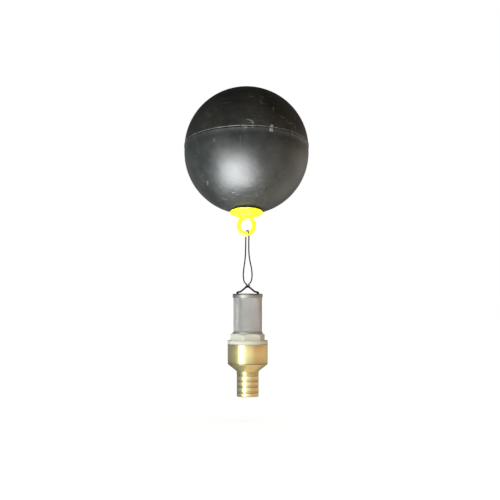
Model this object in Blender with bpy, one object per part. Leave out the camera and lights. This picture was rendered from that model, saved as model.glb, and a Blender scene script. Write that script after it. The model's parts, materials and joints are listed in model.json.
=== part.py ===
"""A floating suction unit: a ball float, its eye and cord, a strainer and a check valve with a hose tail.

Metres, +Z up. The origin is the float's centre. The viewer stands at -Y, and the float leans towards them.
Every piece of the valve is turned about one plumb line, which hangs from the ring of the float's eye.
"""

from math import asin, cos, pi, radians, sin, sqrt, tan

import bmesh
import bpy
from mathutils import Matrix, Vector
from mathutils.geometry import interpolate_bezier

# Clearances
GAP = 0.0003  # between two pieces that touch
RUN = 0.0003  # radial, round a piece that slides
SPARE = 0.0010  # how far a guide shape runs past the face it cuts

# Float
FLOAT_R = 0.0760  # each half is a hemisphere of this radius
BELT = 0.0050  # straight band between the hemispheres
SEAM_RISE = 0.0062  # the two shells meet this far above the float's centre
FLOAT_WALL = 0.0032
FLOAT_LEAN = radians(15)  # lower pole towards the viewer
LAP_HEIGHT = 0.0040  # the lower half's tongue stands up inside the upper half
LAP_WALL = 0.0014
BEAD_R = 0.0007
BOSS_WALL = 0.0045
BOSS_ROOF = 0.0050

# Eye
FLANGE_R = 0.0200
FLANGE_RIM = 0.0012
FLANGE_DOME = 0.0020  # the underside swells this far below the rim
STUD_R = 0.0047
STUD_LENGTH = 0.0125
SEAL_RING_R = 0.0145
WEB_WIDTH = 0.0149
WEB_DEPTH = 0.0050
RING_BAR_R = 0.0025
RING_HALF_WIDTH = 0.0092  # to the bar's centre
RING_HALF_HEIGHT = 0.0103
RING_DROP = 0.01715  # flange face to the ring's centre

# Cord
LOOP_R = 0.00085
LEG_R = 0.00115
HOOK_OFFSET = 0.0015  # the cord hangs this far to the right of the ring's middle
JUNCTION_KNOT_R = 0.0020
LEG_DROP = 0.0072  # junction knot to the knots on the cap
CORD_HOLE_INSET = 0.0029  # the cord's holes lie this far inside the rim's lip
CAP_KNOT_R = 0.0019
STUB_R = 0.00095
STOPPER_R = 0.0019

# Strainer
STRAINER_LENGTH = 0.0477
MESH_TOP_R = 0.0175
MESH_TAPER = 0.0002  # the sleeve's foot is this much less in radius
MESH_WALL = 0.0006  # of the sleeve and of the end disc
RIM_SHEET = 0.0004
RIM_SKIRT = 0.0044
RIM_LIP = 0.0030
FOOT_BAND_HEIGHT = 0.0024
FOOT_BAND_SHEET = 0.0004

# Collar
HEX_WALL = 0.00095  # at the middle of a flat, round the strainer's socket
HEX_HEIGHT = 0.0085
HEX_FACE_INSET = 0.0004  # the round top face ends this far inside the flats
HEX_SLOPE = radians(30)
HEX_TURN = radians(-15)  # one corner, measured from the front towards -X
COLLAR_FLANGE_THICK = 0.0042
SOCKET_DEPTH = 0.0050
COLLAR_WALL = 0.0060
COLLAR_SPIGOT_R = 0.0195
COLLAR_SPIGOT_LENGTH = 0.0060
GASKET_THICK = 0.0010
GASKET_INSET = 0.0006

# Valve body
BODY_WALL = 0.0045
BODY_HEIGHT = 0.0217
SEAT_THICK = 0.0025
SEAT_BORE_R = 0.0100
SPIGOT_END_GAP = 0.0008
EDGE = 0.0004  # broken edges of turned pieces

# Hose tail
TAIL_SPIGOT_INSET = 0.0040  # the body's wall round the tail's spigot
TAIL_SPIGOT_LENGTH = 0.0065
TAIL_SPIGOT_WALL = 0.0035
TAIL_LAND = 0.0005
CONE_HEIGHT = 0.0088
CONE_STEP = 0.0003
TAIL_R = 0.0133
TAIL_LENGTH = 0.0308  # below the cone
TAIL_WALL = 0.0032
TAIL_NOSE_R = 0.0012
BARB_DEPTH = 0.0006
BARB_PITCH = 0.00682
FIRST_BARB = 0.0053
BARB_RISE = 0.0018  # from a valley's middle up to the ridge above
BARB_FALL = 0.0012
VALLEY = 0.0004
TAIL_SEAL_R = 0.00065

# Poppet, spring and guide
SEAT_OVERLAP = 0.0025
POPPET_THICK = 0.0018
STEM_R = 0.0020
STEM_REACH = 0.0013  # below the guide
SEAL_INSET = 0.0005
SEAL_THICK = 0.0015
NUT_ACROSS_FLATS = 0.0085
NUT_THICK = 0.0014
SPRING_R = 0.0060
SPRING_WIRE_R = 0.00045
SPRING_TURNS = 4.5
SPRING_LEDGE = 0.0015
GUIDE_DROP = 0.0031  # the guide sits this far below the tail's shoulder
GUIDE_THICK = 0.0025
GUIDE_RIM = 0.0023
GUIDE_ARMS = 3
GUIDE_ARM_WIDTH = 0.0030
GUIDE_ARM_THICK = 0.0019

# Facets
FLOAT_FACETS = 36
TURNED_FACETS = 32
SMALL_RING_FACETS = 6  # round the section of a bead or a seal
BALL_FACETS = 12
HOLE_FACETS = 16
SPRING_FACETS = 12  # to a turn
EYE_RING_FACETS = 32
CORD_STEP = 0.0023

# The loop's route in millimetres from the ring bar's centre: up the right strand from the knot, over the
# bar from front to back, and down the left strand
LOOP_ROUTE = (
    (1.3, 0.0, -61.0), (2.9, -0.1, -59.2), (4.2, -0.3, -56.9), (5.1, -0.6, -53.1), (5.2, -0.9, -47.6),
    (4.4, -1.5, -40.5), (2.9, -2.2, -33.5), (1.7, -2.9, -25.6), (1.3, -3.6, -15.3), (1.4, -4.1, -6.0),
    (1.4, -4.15, -1.5), (1.2, -3.6, 2.1), (0.7, -1.9, 3.75), (0.0, 0.1, 4.15), (-0.9, 2.1, 3.65),
    (-1.7, 3.7, 2.0), (-2.2, 4.15, -1.5), (-2.3, 4.0, -7.0), (-2.5, 3.5, -16.4), (-2.8, 2.8, -25.6),
    (-3.6, 2.1, -34.3), (-4.7, 1.4, -41.9), (-5.3, 0.9, -49.3), (-4.9, 0.5, -54.4), (-4.1, 0.2, -57.7),
    (-2.8, 0.1, -59.5), (-1.3, 0.0, -61.0),
)
LOOP_DROP = JUNCTION_KNOT_R - LOOP_ROUTE[0][2] / 1000  # ring bar to the junction knot

# A leg's route as shares of its reach sideways and of its drop, from the junction knot outwards
LEG_ROUTE = ((0.193, 0.214), (0.354, 0.371), (0.552, 0.6), (0.76, 0.843), (0.917, 0.957), (1.0, 0.986))
LEG_END_GAP = 0.0004  # a leg stops this far from its knot on the cap

# Radii that follow from a neighbour's
MESH_FOOT_R = MESH_TOP_R - MESH_TAPER
RIM_R = MESH_TOP_R + GAP + RIM_SHEET
LEG_SPREAD = RIM_R - RIM_LIP - CORD_HOLE_INSET
SOCKET_R = MESH_TOP_R + GAP
ACROSS_FLATS = 2 * (SOCKET_R + HEX_WALL)
BODY_R = COLLAR_SPIGOT_R + GAP + BODY_WALL
TAIL_SPIGOT_R = BODY_R - TAIL_SPIGOT_INSET - GAP
TAIL_MOUTH_R = TAIL_SPIGOT_R - TAIL_SPIGOT_WALL
TAIL_BORE_R = TAIL_R - TAIL_WALL
GUIDE_R = TAIL_MOUTH_R - GAP
GUIDE_HUB_R = SPRING_R + SPRING_WIRE_R + SPRING_LEDGE
POPPET_R = SEAT_BORE_R + SEAT_OVERLAP

# Places along the float's own axis, down from its centre
POLE = FLOAT_R + BELT / 2
FLANGE_FACE = POLE + GAP
RING_CENTRE = FLANGE_FACE + RING_DROP
RING_BAR = RING_CENTRE + RING_HALF_HEIGHT

# Places on the plumb line, in the part's frame
PLUMB_X = HOOK_OFFSET
PLUMB_Y = -RING_BAR * sin(FLOAT_LEAN)
HOOK_Z = -RING_BAR * cos(FLOAT_LEAN)
JUNCTION_Z = HOOK_Z - LOOP_DROP
NOD_Z = JUNCTION_Z - LEG_DROP
CAP_Z = NOD_Z - CAP_KNOT_R - GAP

# Places on the valve, down from its cap's top face
END_MESH_TOP = -RIM_SHEET - GAP
END_MESH_BOTTOM = END_MESH_TOP - MESH_WALL
COLLAR_TOP = -STRAINER_LENGTH
COLLAR_FLANGE_TOP = COLLAR_TOP - HEX_HEIGHT
COLLAR_FLANGE_BOTTOM = COLLAR_FLANGE_TOP - COLLAR_FLANGE_THICK
COLLAR_END = COLLAR_FLANGE_BOTTOM - COLLAR_SPIGOT_LENGTH
GASKET_TOP = COLLAR_FLANGE_BOTTOM - GAP
BODY_TOP = GASKET_TOP - GASKET_THICK - GAP
BODY_BOTTOM = BODY_TOP - BODY_HEIGHT
SEAT_TOP = COLLAR_END - SPIGOT_END_GAP
SEAT_BOTTOM = SEAT_TOP - SEAT_THICK
SEAL_TOP = SEAT_BOTTOM - GAP
POPPET_TOP = SEAL_TOP - SEAL_THICK - GAP
POPPET_BOTTOM = POPPET_TOP - POPPET_THICK
NUT_BOTTOM = SEAL_TOP + GAP
TAIL_SHOULDER = BODY_BOTTOM - GAP
GUIDE_BOTTOM = TAIL_SHOULDER - GUIDE_DROP
GUIDE_TOP = GUIDE_BOTTOM + GUIDE_THICK
SPRING_TOP = POPPET_BOTTOM - GAP
SPRING_FOOT = GUIDE_TOP + GAP
TAIL_TOP = TAIL_SHOULDER + TAIL_SPIGOT_LENGTH
CONE_FOOT = TAIL_SHOULDER - TAIL_LAND - CONE_HEIGHT
TAIL_END = CONE_FOOT - TAIL_LENGTH


def clear_scene():
    for old in list(bpy.data.objects):
        bpy.data.objects.remove(old, do_unlink=True)


def finish(name, colour, roughness, metallic=0.0):
    material = bpy.data.materials.new(name)
    material.use_nodes = True
    shader = material.node_tree.nodes["Principled BSDF"]
    shader.inputs["Base Color"].default_value = (*colour, 1.0)
    shader.inputs["Roughness"].default_value = roughness
    shader.inputs["Metallic"].default_value = metallic
    material.diffuse_color = (*colour, 1.0)
    return material


def empty(name, parent=None, location=(0, 0, 0), tilt=0.0):
    made = bpy.data.objects.new(name, None)
    bpy.context.scene.collection.objects.link(made)
    made.parent = parent
    made.location = location
    made.rotation_euler.x = tilt
    return made


def add(name, data, parent, material, location=(0, 0, 0)):
    made = bpy.data.objects.new(name, data)
    bpy.context.scene.collection.objects.link(made)
    made.parent = parent
    made.location = location
    if material:
        data.materials.append(material)
    return made


def smooth(mesh, sharp=radians(35)):
    mesh.shade_smooth()
    mesh.set_sharp_from_angle(angle=sharp)
    return mesh


def arc(centre, radius, start, end, steps):
    """Points of an arc in the (radius, height) plane, from one angle in degrees to another."""
    turns = [radians(start + (end - start) * i / steps) for i in range(steps + 1)]
    return [(centre[0] + radius * cos(a), centre[1] + radius * sin(a)) for a in turns]


def turned(name, outline, facets=TURNED_FACETS):
    """A mesh turned about Z from a closed outline of (radius, height) points."""
    bm = bmesh.new()
    points = [bm.verts.new((r, 0, z)) for r, z in outline]
    pairs = [pair for pair in zip(points, points[1:] + points[:1]) if any(v.co.x for v in pair)]
    bmesh.ops.spin(
        bm, geom=points + [bm.edges.new(pair) for pair in pairs], cent=(0, 0, 0), axis=(0, 0, 1),
        angle=2 * pi, steps=facets, use_merge=True,
    )
    bmesh.ops.remove_doubles(bm, verts=bm.verts, dist=1e-6)
    bmesh.ops.recalc_face_normals(bm, faces=bm.faces)
    mesh = bpy.data.meshes.new(name)
    bm.to_mesh(mesh)
    bm.free()
    return smooth(mesh)


def ring_outline(inner, outer, bottom, top):
    return [(outer, bottom), (outer, top), (inner, top), (inner, bottom)]


def disc_outline(radius, bottom, top):
    return [(0, bottom), (radius, bottom), (radius, top), (0, top)]


def round_ring(radius, height, section):
    return arc((radius, height), section, 0, 360 - 360 / SMALL_RING_FACETS, SMALL_RING_FACETS - 1)


def prism(name, across_flats, bottom, top, turn=0.0, sides=6):
    """An upright prism with one corner at the given turn from -Y."""
    bm = bmesh.new()
    corner = across_flats / 2 / cos(pi / sides)
    bmesh.ops.create_cone(
        bm, cap_ends=True, segments=sides, radius1=corner, radius2=corner, depth=top - bottom,
        matrix=Matrix.Translation((0, 0, (top + bottom) / 2)) @ Matrix.Rotation(turn, 4, "Z"),
    )
    mesh = bpy.data.meshes.new(name)
    bm.to_mesh(mesh)
    bm.free()
    return mesh


def block(name, size, centre, turn=0.0):
    bm = bmesh.new()
    place = Matrix.Rotation(turn, 4, "Z") @ Matrix.Translation(centre) @ Matrix.Diagonal((*size, 1))
    bmesh.ops.create_cube(bm, size=1.0, matrix=place)
    mesh = bpy.data.meshes.new(name)
    bm.to_mesh(mesh)
    bm.free()
    return mesh


def combine(piece, operation, mesh):
    """Adds a live Boolean whose second shape is a hidden guide in the piece's own frame."""
    guide = add(f"{piece.name}_{operation.lower()}_{len(piece.modifiers)}", mesh, piece, None)
    guide.hide_render = True
    guide.display_type = "WIRE"
    step = piece.modifiers.new(operation.title(), "BOOLEAN")
    step.operation = operation
    step.object = guide
    step.solver = "EXACT"
    return piece


def through(route, step):
    """Points about one step apart on the smooth curve through the route's points."""
    ends = [2 * route[0] - route[1], *route, 2 * route[-1] - route[-2]]
    fine = [route[0]]
    for before, a, b, after in zip(ends, ends[1:], ends[2:], ends[3:]):
        handles = a + (b - before) / 6, b - (after - a) / 6
        fine += interpolate_bezier(a, *handles, b, 24)[1:]
    length = sum((b - a).length for a, b in zip(fine, fine[1:]))
    wanted = length / round(length / step)
    points, travelled = [fine[0]], 0.0
    for a, b in zip(fine, fine[1:]):
        travelled += (b - a).length
        if travelled >= wanted * len(points) - 1e-9:
            points.append(b)
    points[-1] = fine[-1]
    return points


def cord(name, points, radius, parent, material, cyclic=False, sides=2):
    curve = bpy.data.curves.new(name, "CURVE")
    curve.dimensions = "3D"
    curve.bevel_depth = radius
    curve.bevel_resolution = sides
    curve.use_fill_caps = True
    spline = curve.splines.new("POLY")
    spline.points.add(len(points) - 1)
    for point, place in zip(spline.points, points):
        point.co = (*place, 1)
    spline.use_cyclic_u = cyclic
    return add(name, curve, parent, material)


def ball(name, radius):
    return turned(name, arc((0, 0), radius, -90, 90, BALL_FACETS // 2), BALL_FACETS)


def pole_arc(radius, start, end, steps, side):
    """An arc of a hemisphere's outline, on the upper (1) or lower (-1) side of the belt."""
    return [(r, side * (z + BELT / 2)) for r, z in arc((0, 0), radius, start, end, steps)]


def degrees_at(reach, radius):
    """The angle at which a circle of this radius is this far from its centre line."""
    return 180 / pi * asin(reach / radius)


def make_float(body, black, rubber):
    inner_r = FLOAT_R - FLOAT_WALL
    groove = BEAD_R + GAP  # the halves' outer edges are cut back by this, for the weld
    seam_turn = degrees_at(SEAM_RISE - BELT / 2, FLOAT_R)
    groove_turn = degrees_at(groove, FLOAT_R)
    seam_r = FLOAT_R * cos(radians(seam_turn))
    above, below = SEAM_RISE + GAP / 2, SEAM_RISE - GAP / 2
    lap_top, lap_foot = SEAM_RISE + LAP_HEIGHT + 2 * GAP, SEAM_RISE - LAP_HEIGHT
    outline = [
        *pole_arc(FLOAT_R, 90, seam_turn + groove_turn, 10, 1),
        (seam_r - groove, above), (inner_r, above), (inner_r, lap_top),
        *pole_arc(inner_r - GAP, degrees_at(lap_top, inner_r) + 5, 90, 6, 1),
    ]
    add("float_shell_upper", turned("float_shell_upper", outline, FLOAT_FACETS), body, black)

    tongue_r = inner_r - GAP
    tongue_inner = tongue_r - LAP_WALL
    hole_r = STUD_R + RUN
    hole_top = STUD_LENGTH + 2 * GAP - FLANGE_FACE
    boss_r = hole_r + BOSS_WALL
    boss_top = hole_top + BOSS_ROOF
    outline = [
        *pole_arc(FLOAT_R, 90 - degrees_at(hole_r, FLOAT_R), 0, 10, -1),
        (FLOAT_R, BELT / 2), *pole_arc(FLOAT_R, seam_turn - groove_turn, seam_turn - groove_turn, 1, 1)[:1],
        (seam_r - groove, below), (tongue_r, below), (tongue_r, SEAM_RISE + LAP_HEIGHT),
        (tongue_inner, SEAM_RISE + LAP_HEIGHT), (tongue_inner, lap_foot),
        *pole_arc(inner_r, 0, 90 - degrees_at(boss_r, inner_r), 7, -1),
        (boss_r, boss_top), (0, boss_top), (0, hole_top), (hole_r, hole_top),
    ]
    add("float_shell_lower", turned("float_shell_lower", outline, FLOAT_FACETS), body, black)

    bead = round_ring(seam_r, SEAM_RISE, BEAD_R)
    add("float_weld_bead", turned("float_weld_bead", bead, FLOAT_FACETS), body, black)

    seal_surface = BELT / 2 + sqrt(FLOAT_R**2 - SEAL_RING_R**2)
    section = (FLANGE_FACE - seal_surface) / 2 - GAP
    seal = round_ring(SEAL_RING_R, -(FLANGE_FACE + seal_surface) / 2, section)
    add("eye_seal_ring", turned("eye_seal_ring", seal), body, rubber)


def make_eye(body, yellow):
    rim = -FLANGE_FACE - FLANGE_RIM
    turns = [radians(90), radians(60), radians(35), 0]
    underside = [(FLANGE_R * sin(turn), rim - FLANGE_DOME * cos(turn)) for turn in turns]
    outline = [
        (0, STUD_LENGTH - FLANGE_FACE), (STUD_R, STUD_LENGTH - FLANGE_FACE), (STUD_R, -FLANGE_FACE),
        (FLANGE_R - EDGE, -FLANGE_FACE), (FLANGE_R, -FLANGE_FACE - EDGE), *underside,
    ]
    eye = add("float_eye", turned("float_eye", outline), body, yellow)
    web_top, web_foot = rim - FLANGE_DOME / 4, -RING_CENTRE + RING_HALF_HEIGHT - RING_BAR_R / 4
    web = block(
        "float_eye_web", (WEB_WIDTH, WEB_DEPTH, web_top - web_foot), (0, 0, (web_top + web_foot) / 2)
    )
    combine(eye, "UNION", web)
    turns = [2 * pi * i / EYE_RING_FACETS for i in range(EYE_RING_FACETS)]
    ring = [
        Vector((RING_HALF_WIDTH * sin(turn), 0, -RING_CENTRE - RING_HALF_HEIGHT * cos(turn)))
        for turn in turns
    ]
    path = cord("ring_path", ring, RING_BAR_R, None, None, cyclic=True, sides=4)
    mesh = bpy.data.meshes.new_from_object(path)
    bpy.data.objects.remove(path)
    combine(eye, "UNION", mesh)


def make_cords(loop, bridle, valve, black):
    route = [Vector(point) / 1000 for point in LOOP_ROUTE]
    cord("loop_cord", through(route, CORD_STEP), LOOP_R, loop, black)
    add("junction_knot", ball("junction_knot", JUNCTION_KNOT_R), bridle, black)
    reach = LEG_SPREAD - CAP_KNOT_R - LEG_END_GAP
    for side, name in ((-1, "left"), (1, "right")):
        leg = [Vector((side * reach * across, 0, -LEG_DROP * down)) for across, down in LEG_ROUTE]
        cord(f"leg_cord_{name}", through(leg, CORD_STEP), LEG_R, bridle, black)
        knot = ball(f"cap_knot_{name}", CAP_KNOT_R)
        add(f"cap_knot_{name}", knot, bridle, black, (side * LEG_SPREAD, 0, -LEG_DROP))
        middle, upper = (0, END_MESH_BOTTOM - GAP - STOPPER_R), 90 - degrees_at(STUB_R, STOPPER_R)
        stopper = arc(middle, STOPPER_R, upper, -90, 5)
        end = turned(f"cord_end_{name}", [(0, 0), (STUB_R, 0), *stopper], BALL_FACETS)
        add(f"cord_end_{name}", end, valve, black, (side * LEG_SPREAD, 0, CAP_Z - NOD_Z))


def make_strainer(valve, steel, place):
    lip_r, skirt_r = RIM_R - RIM_LIP, RIM_R - RIM_SHEET
    rim = [
        (lip_r, -RIM_SHEET), (skirt_r, -RIM_SHEET), (skirt_r, -RIM_SKIRT), (RIM_R, -RIM_SKIRT),
        (RIM_R, -RIM_SHEET), (skirt_r, 0), (lip_r, 0),
    ]
    add("strainer_rim", turned("strainer_rim", rim), valve, steel, place)

    end_mesh = turned("strainer_end_mesh", disc_outline(MESH_TOP_R, END_MESH_BOTTOM, END_MESH_TOP))
    disc = add("strainer_end_mesh", end_mesh, valve, steel, place)
    for side in (-1, 1):
        hole = turned("hole", disc_outline(STUB_R + GAP, 2 * END_MESH_BOTTOM, 0), BALL_FACETS)
        hole.transform(Matrix.Translation((side * LEG_SPREAD, 0, 0)))
        combine(disc, "DIFFERENCE", hole)

    top, foot = END_MESH_BOTTOM - GAP, COLLAR_TOP - SOCKET_DEPTH + GAP
    sleeve = [
        (MESH_FOOT_R, foot), (MESH_TOP_R, top), (MESH_TOP_R - MESH_WALL, top),
        (MESH_FOOT_R - MESH_WALL, foot),
    ]
    add("strainer_mesh", turned("strainer_mesh", sleeve), valve, steel, place)

    band_foot = COLLAR_TOP + GAP
    band = ring_outline(SOCKET_R, SOCKET_R + FOOT_BAND_SHEET, band_foot, band_foot + FOOT_BAND_HEIGHT)
    add("strainer_foot_band", turned("strainer_foot_band", band), valve, steel, place)


def make_collar(valve, nylon, rubber, place):
    flange_middle = COLLAR_FLANGE_TOP - COLLAR_FLANGE_THICK / 2
    hexagon = prism("strainer_collar", ACROSS_FLATS, flange_middle, COLLAR_TOP + SPARE, HEX_TURN)
    collar = add("strainer_collar", hexagon, valve, nylon, place)
    face_r = ACROSS_FLATS / 2 - HEX_FACE_INSET
    wide = ACROSS_FLATS
    slope = [
        (0, COLLAR_END), (wide, COLLAR_END), (wide, COLLAR_TOP - (wide - face_r) * tan(HEX_SLOPE)),
        (face_r, COLLAR_TOP), (0, COLLAR_TOP),
    ]
    combine(collar, "INTERSECT", turned("slope", slope))
    flange = [
        (0, COLLAR_END), (COLLAR_SPIGOT_R - EDGE, COLLAR_END), (COLLAR_SPIGOT_R, COLLAR_END + EDGE),
        (COLLAR_SPIGOT_R, COLLAR_FLANGE_BOTTOM), (BODY_R - EDGE, COLLAR_FLANGE_BOTTOM),
        (BODY_R, COLLAR_FLANGE_BOTTOM + EDGE), (BODY_R, COLLAR_FLANGE_TOP - EDGE),
        (BODY_R - EDGE, COLLAR_FLANGE_TOP), (0, COLLAR_FLANGE_TOP),
    ]
    combine(collar, "UNION", turned("flange", flange))
    bore_r = COLLAR_SPIGOT_R - COLLAR_WALL
    socket_foot = COLLAR_TOP - SOCKET_DEPTH
    bore = [
        (0, COLLAR_END - SPARE), (bore_r, COLLAR_END - SPARE), (bore_r, socket_foot),
        (SOCKET_R, socket_foot), (SOCKET_R, COLLAR_TOP + SPARE), (0, COLLAR_TOP + SPARE),
    ]
    combine(collar, "DIFFERENCE", turned("bore", bore))

    gasket_r = BODY_R - GASKET_INSET
    gasket = ring_outline(COLLAR_SPIGOT_R + GAP, gasket_r, GASKET_TOP - GASKET_THICK, GASKET_TOP)
    add("collar_gasket", turned("collar_gasket", gasket), valve, rubber, place)


def make_body(valve, brass, place):
    upper_r, lower_r = COLLAR_SPIGOT_R + GAP, TAIL_SPIGOT_R + GAP
    outline = [
        (BODY_R - EDGE, BODY_BOTTOM), (BODY_R, BODY_BOTTOM + EDGE), (BODY_R, BODY_TOP - EDGE),
        (BODY_R - EDGE, BODY_TOP), (upper_r, BODY_TOP), (upper_r, SEAT_TOP), (SEAT_BORE_R, SEAT_TOP),
        (SEAT_BORE_R, SEAT_BOTTOM), (lower_r, SEAT_BOTTOM), (lower_r, BODY_BOTTOM),
    ]
    add("valve_body", turned("valve_body", outline), valve, brass, place)


def make_tail(valve, brass, rubber, place):
    groove_r = TAIL_SPIGOT_R - 2 * TAIL_SEAL_R - GAP
    groove_z = TAIL_SHOULDER + TAIL_SPIGOT_LENGTH / 2
    groove_half = TAIL_SEAL_R + GAP
    outline = [
        (TAIL_SPIGOT_R, TAIL_TOP), (TAIL_SPIGOT_R, groove_z + groove_half),
        (groove_r, groove_z + groove_half), (groove_r, groove_z - groove_half),
        (TAIL_SPIGOT_R, groove_z - groove_half), (TAIL_SPIGOT_R, TAIL_SHOULDER),
        (BODY_R - EDGE / 2, TAIL_SHOULDER), (BODY_R, TAIL_SHOULDER - EDGE / 2),
        (BODY_R, TAIL_SHOULDER - TAIL_LAND), (TAIL_R + CONE_STEP, CONE_FOOT),
    ]
    valley_r = TAIL_R - BARB_DEPTH
    barbs = int((TAIL_LENGTH - FIRST_BARB - TAIL_NOSE_R - BARB_FALL) / BARB_PITCH) + 1
    for i in range(barbs):
        valley = CONE_FOOT - FIRST_BARB - i * BARB_PITCH
        outline += [(TAIL_R, valley + BARB_RISE), (valley_r, valley + VALLEY)]
        outline += [(valley_r, valley - VALLEY), (TAIL_R, valley - BARB_FALL)]
    outline += arc((TAIL_R - TAIL_NOSE_R, TAIL_END + TAIL_NOSE_R), TAIL_NOSE_R, 0, -90, 3)
    seat = GUIDE_BOTTOM - GAP
    outline += [
        (TAIL_BORE_R, TAIL_END), (TAIL_BORE_R, CONE_FOOT), (GUIDE_R - GUIDE_RIM / 2, seat),
        (TAIL_MOUTH_R, seat), (TAIL_MOUTH_R, TAIL_TOP),
    ]
    add("hose_tail", turned("hose_tail", outline), valve, brass, place)
    seal = round_ring(groove_r + GAP / 2 + TAIL_SEAL_R, groove_z, TAIL_SEAL_R)
    add("tail_seal", turned("tail_seal", seal), valve, rubber, place)


def make_guide(valve, brass, steel, place):
    ring = ring_outline(GUIDE_R - GUIDE_RIM, GUIDE_R, GUIDE_BOTTOM, GUIDE_TOP)
    guide = add("poppet_guide", turned("poppet_guide", ring), valve, brass, place)
    reach = GUIDE_R - GUIDE_RIM / 2
    size = (reach, GUIDE_ARM_WIDTH, GUIDE_ARM_THICK)
    centre = (reach / 2, 0, (GUIDE_TOP + GUIDE_BOTTOM) / 2)
    for i in range(GUIDE_ARMS):
        combine(guide, "UNION", block("arm", size, centre, pi / 2 + 2 * pi * i / GUIDE_ARMS))
    combine(guide, "UNION", turned("hub", disc_outline(GUIDE_HUB_R, GUIDE_BOTTOM, GUIDE_TOP)))
    hole = disc_outline(STEM_R + RUN, GUIDE_BOTTOM - SPARE, GUIDE_TOP + SPARE)
    combine(guide, "DIFFERENCE", turned("hole", hole, HOLE_FACETS))

    steps = round(SPRING_TURNS * SPRING_FACETS)
    low, high = SPRING_FOOT + SPRING_WIRE_R, SPRING_TOP - SPRING_WIRE_R
    coil = []
    for i in range(steps + 1):
        turn = 2 * pi * i / SPRING_FACETS
        height = low + (high - low) * i / steps
        coil.append(Vector((SPRING_R * cos(turn), SPRING_R * sin(turn), height)))
    spring = cord("poppet_spring", coil, SPRING_WIRE_R, valve, steel, sides=1)
    spring.location = place


def make_poppet(poppet, nylon, rubber, brass, place):
    hole_r = STEM_R + GAP
    stem_top = NUT_BOTTOM + NUT_THICK + GAP
    stem_foot = GUIDE_BOTTOM - STEM_REACH
    outline = [
        (0, stem_foot), (STEM_R - EDGE, stem_foot), (STEM_R, stem_foot + EDGE), (STEM_R, POPPET_BOTTOM),
        (POPPET_R, POPPET_BOTTOM), (POPPET_R, POPPET_TOP), (STEM_R, POPPET_TOP), (STEM_R, stem_top),
        (0, stem_top),
    ]
    add("poppet", turned("poppet", outline), poppet, nylon, place)
    seal = ring_outline(hole_r, POPPET_R - SEAL_INSET, SEAL_TOP - SEAL_THICK, SEAL_TOP)
    add("poppet_seal", turned("poppet_seal", seal), poppet, rubber, place)
    hexagon = prism("seal_nut", NUT_ACROSS_FLATS, NUT_BOTTOM, NUT_BOTTOM + NUT_THICK)
    nut = add("seal_nut", hexagon, poppet, brass, place)
    hole = disc_outline(hole_r, NUT_BOTTOM - SPARE, stem_top + SPARE)
    combine(nut, "DIFFERENCE", turned("hole", hole, HOLE_FACETS))


def build():
    clear_scene()
    black = finish("float_black", (0.03, 0.031, 0.03), 0.42)
    yellow = finish("eye_yellow", (0.93, 0.89, 0.02), 0.38)
    cord_black = finish("cord_black", (0.012, 0.012, 0.012), 0.4)
    steel = finish("strainer_steel", (0.55, 0.55, 0.53), 0.4, 1.0)
    nylon = finish("collar_nylon", (0.72, 0.72, 0.6), 0.45)
    rubber = finish("seal_rubber", (0.02, 0.02, 0.02), 0.6)
    brass = finish("valve_brass", (0.72, 0.58, 0.28), 0.3, 1.0)

    hook = (PLUMB_X, PLUMB_Y, HOOK_Z)
    float_body = empty("float_axis", tilt=-FLOAT_LEAN)
    loop = empty("loop_hinge", location=hook)
    bridle = empty("sway_hinge", loop, (0, 0, -LOOP_DROP))
    valve = empty("nod_hinge", bridle, (0, 0, -LEG_DROP))
    poppet = empty("poppet_slide", valve)
    place = (0, 0, CAP_Z - NOD_Z)

    make_float(float_body, black, rubber)
    make_eye(float_body, yellow)
    make_cords(loop, bridle, valve, cord_black)
    make_strainer(valve, steel, place)
    make_collar(valve, nylon, rubber, place)
    make_body(valve, brass, place)
    make_tail(valve, brass, rubber, place)
    make_guide(valve, brass, steel, place)
    make_poppet(poppet, nylon, rubber, brass, place)


build()
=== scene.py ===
# %% [markdown]
# # A floating suction unit
# A hollow ball floats on the water. A cord hangs from its yellow eye and holds a strainer with a check
# valve, so that a pump's hose draws clean water from just below the surface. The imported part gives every
# place and size, and this lesson dresses it piece by piece.

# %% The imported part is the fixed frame
import json
import math
from math import cos, pi, radians, sin

import bmesh
import bpy
from mathutils import Matrix, Vector, noise
from mathutils.geometry import interpolate_bezier


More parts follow.
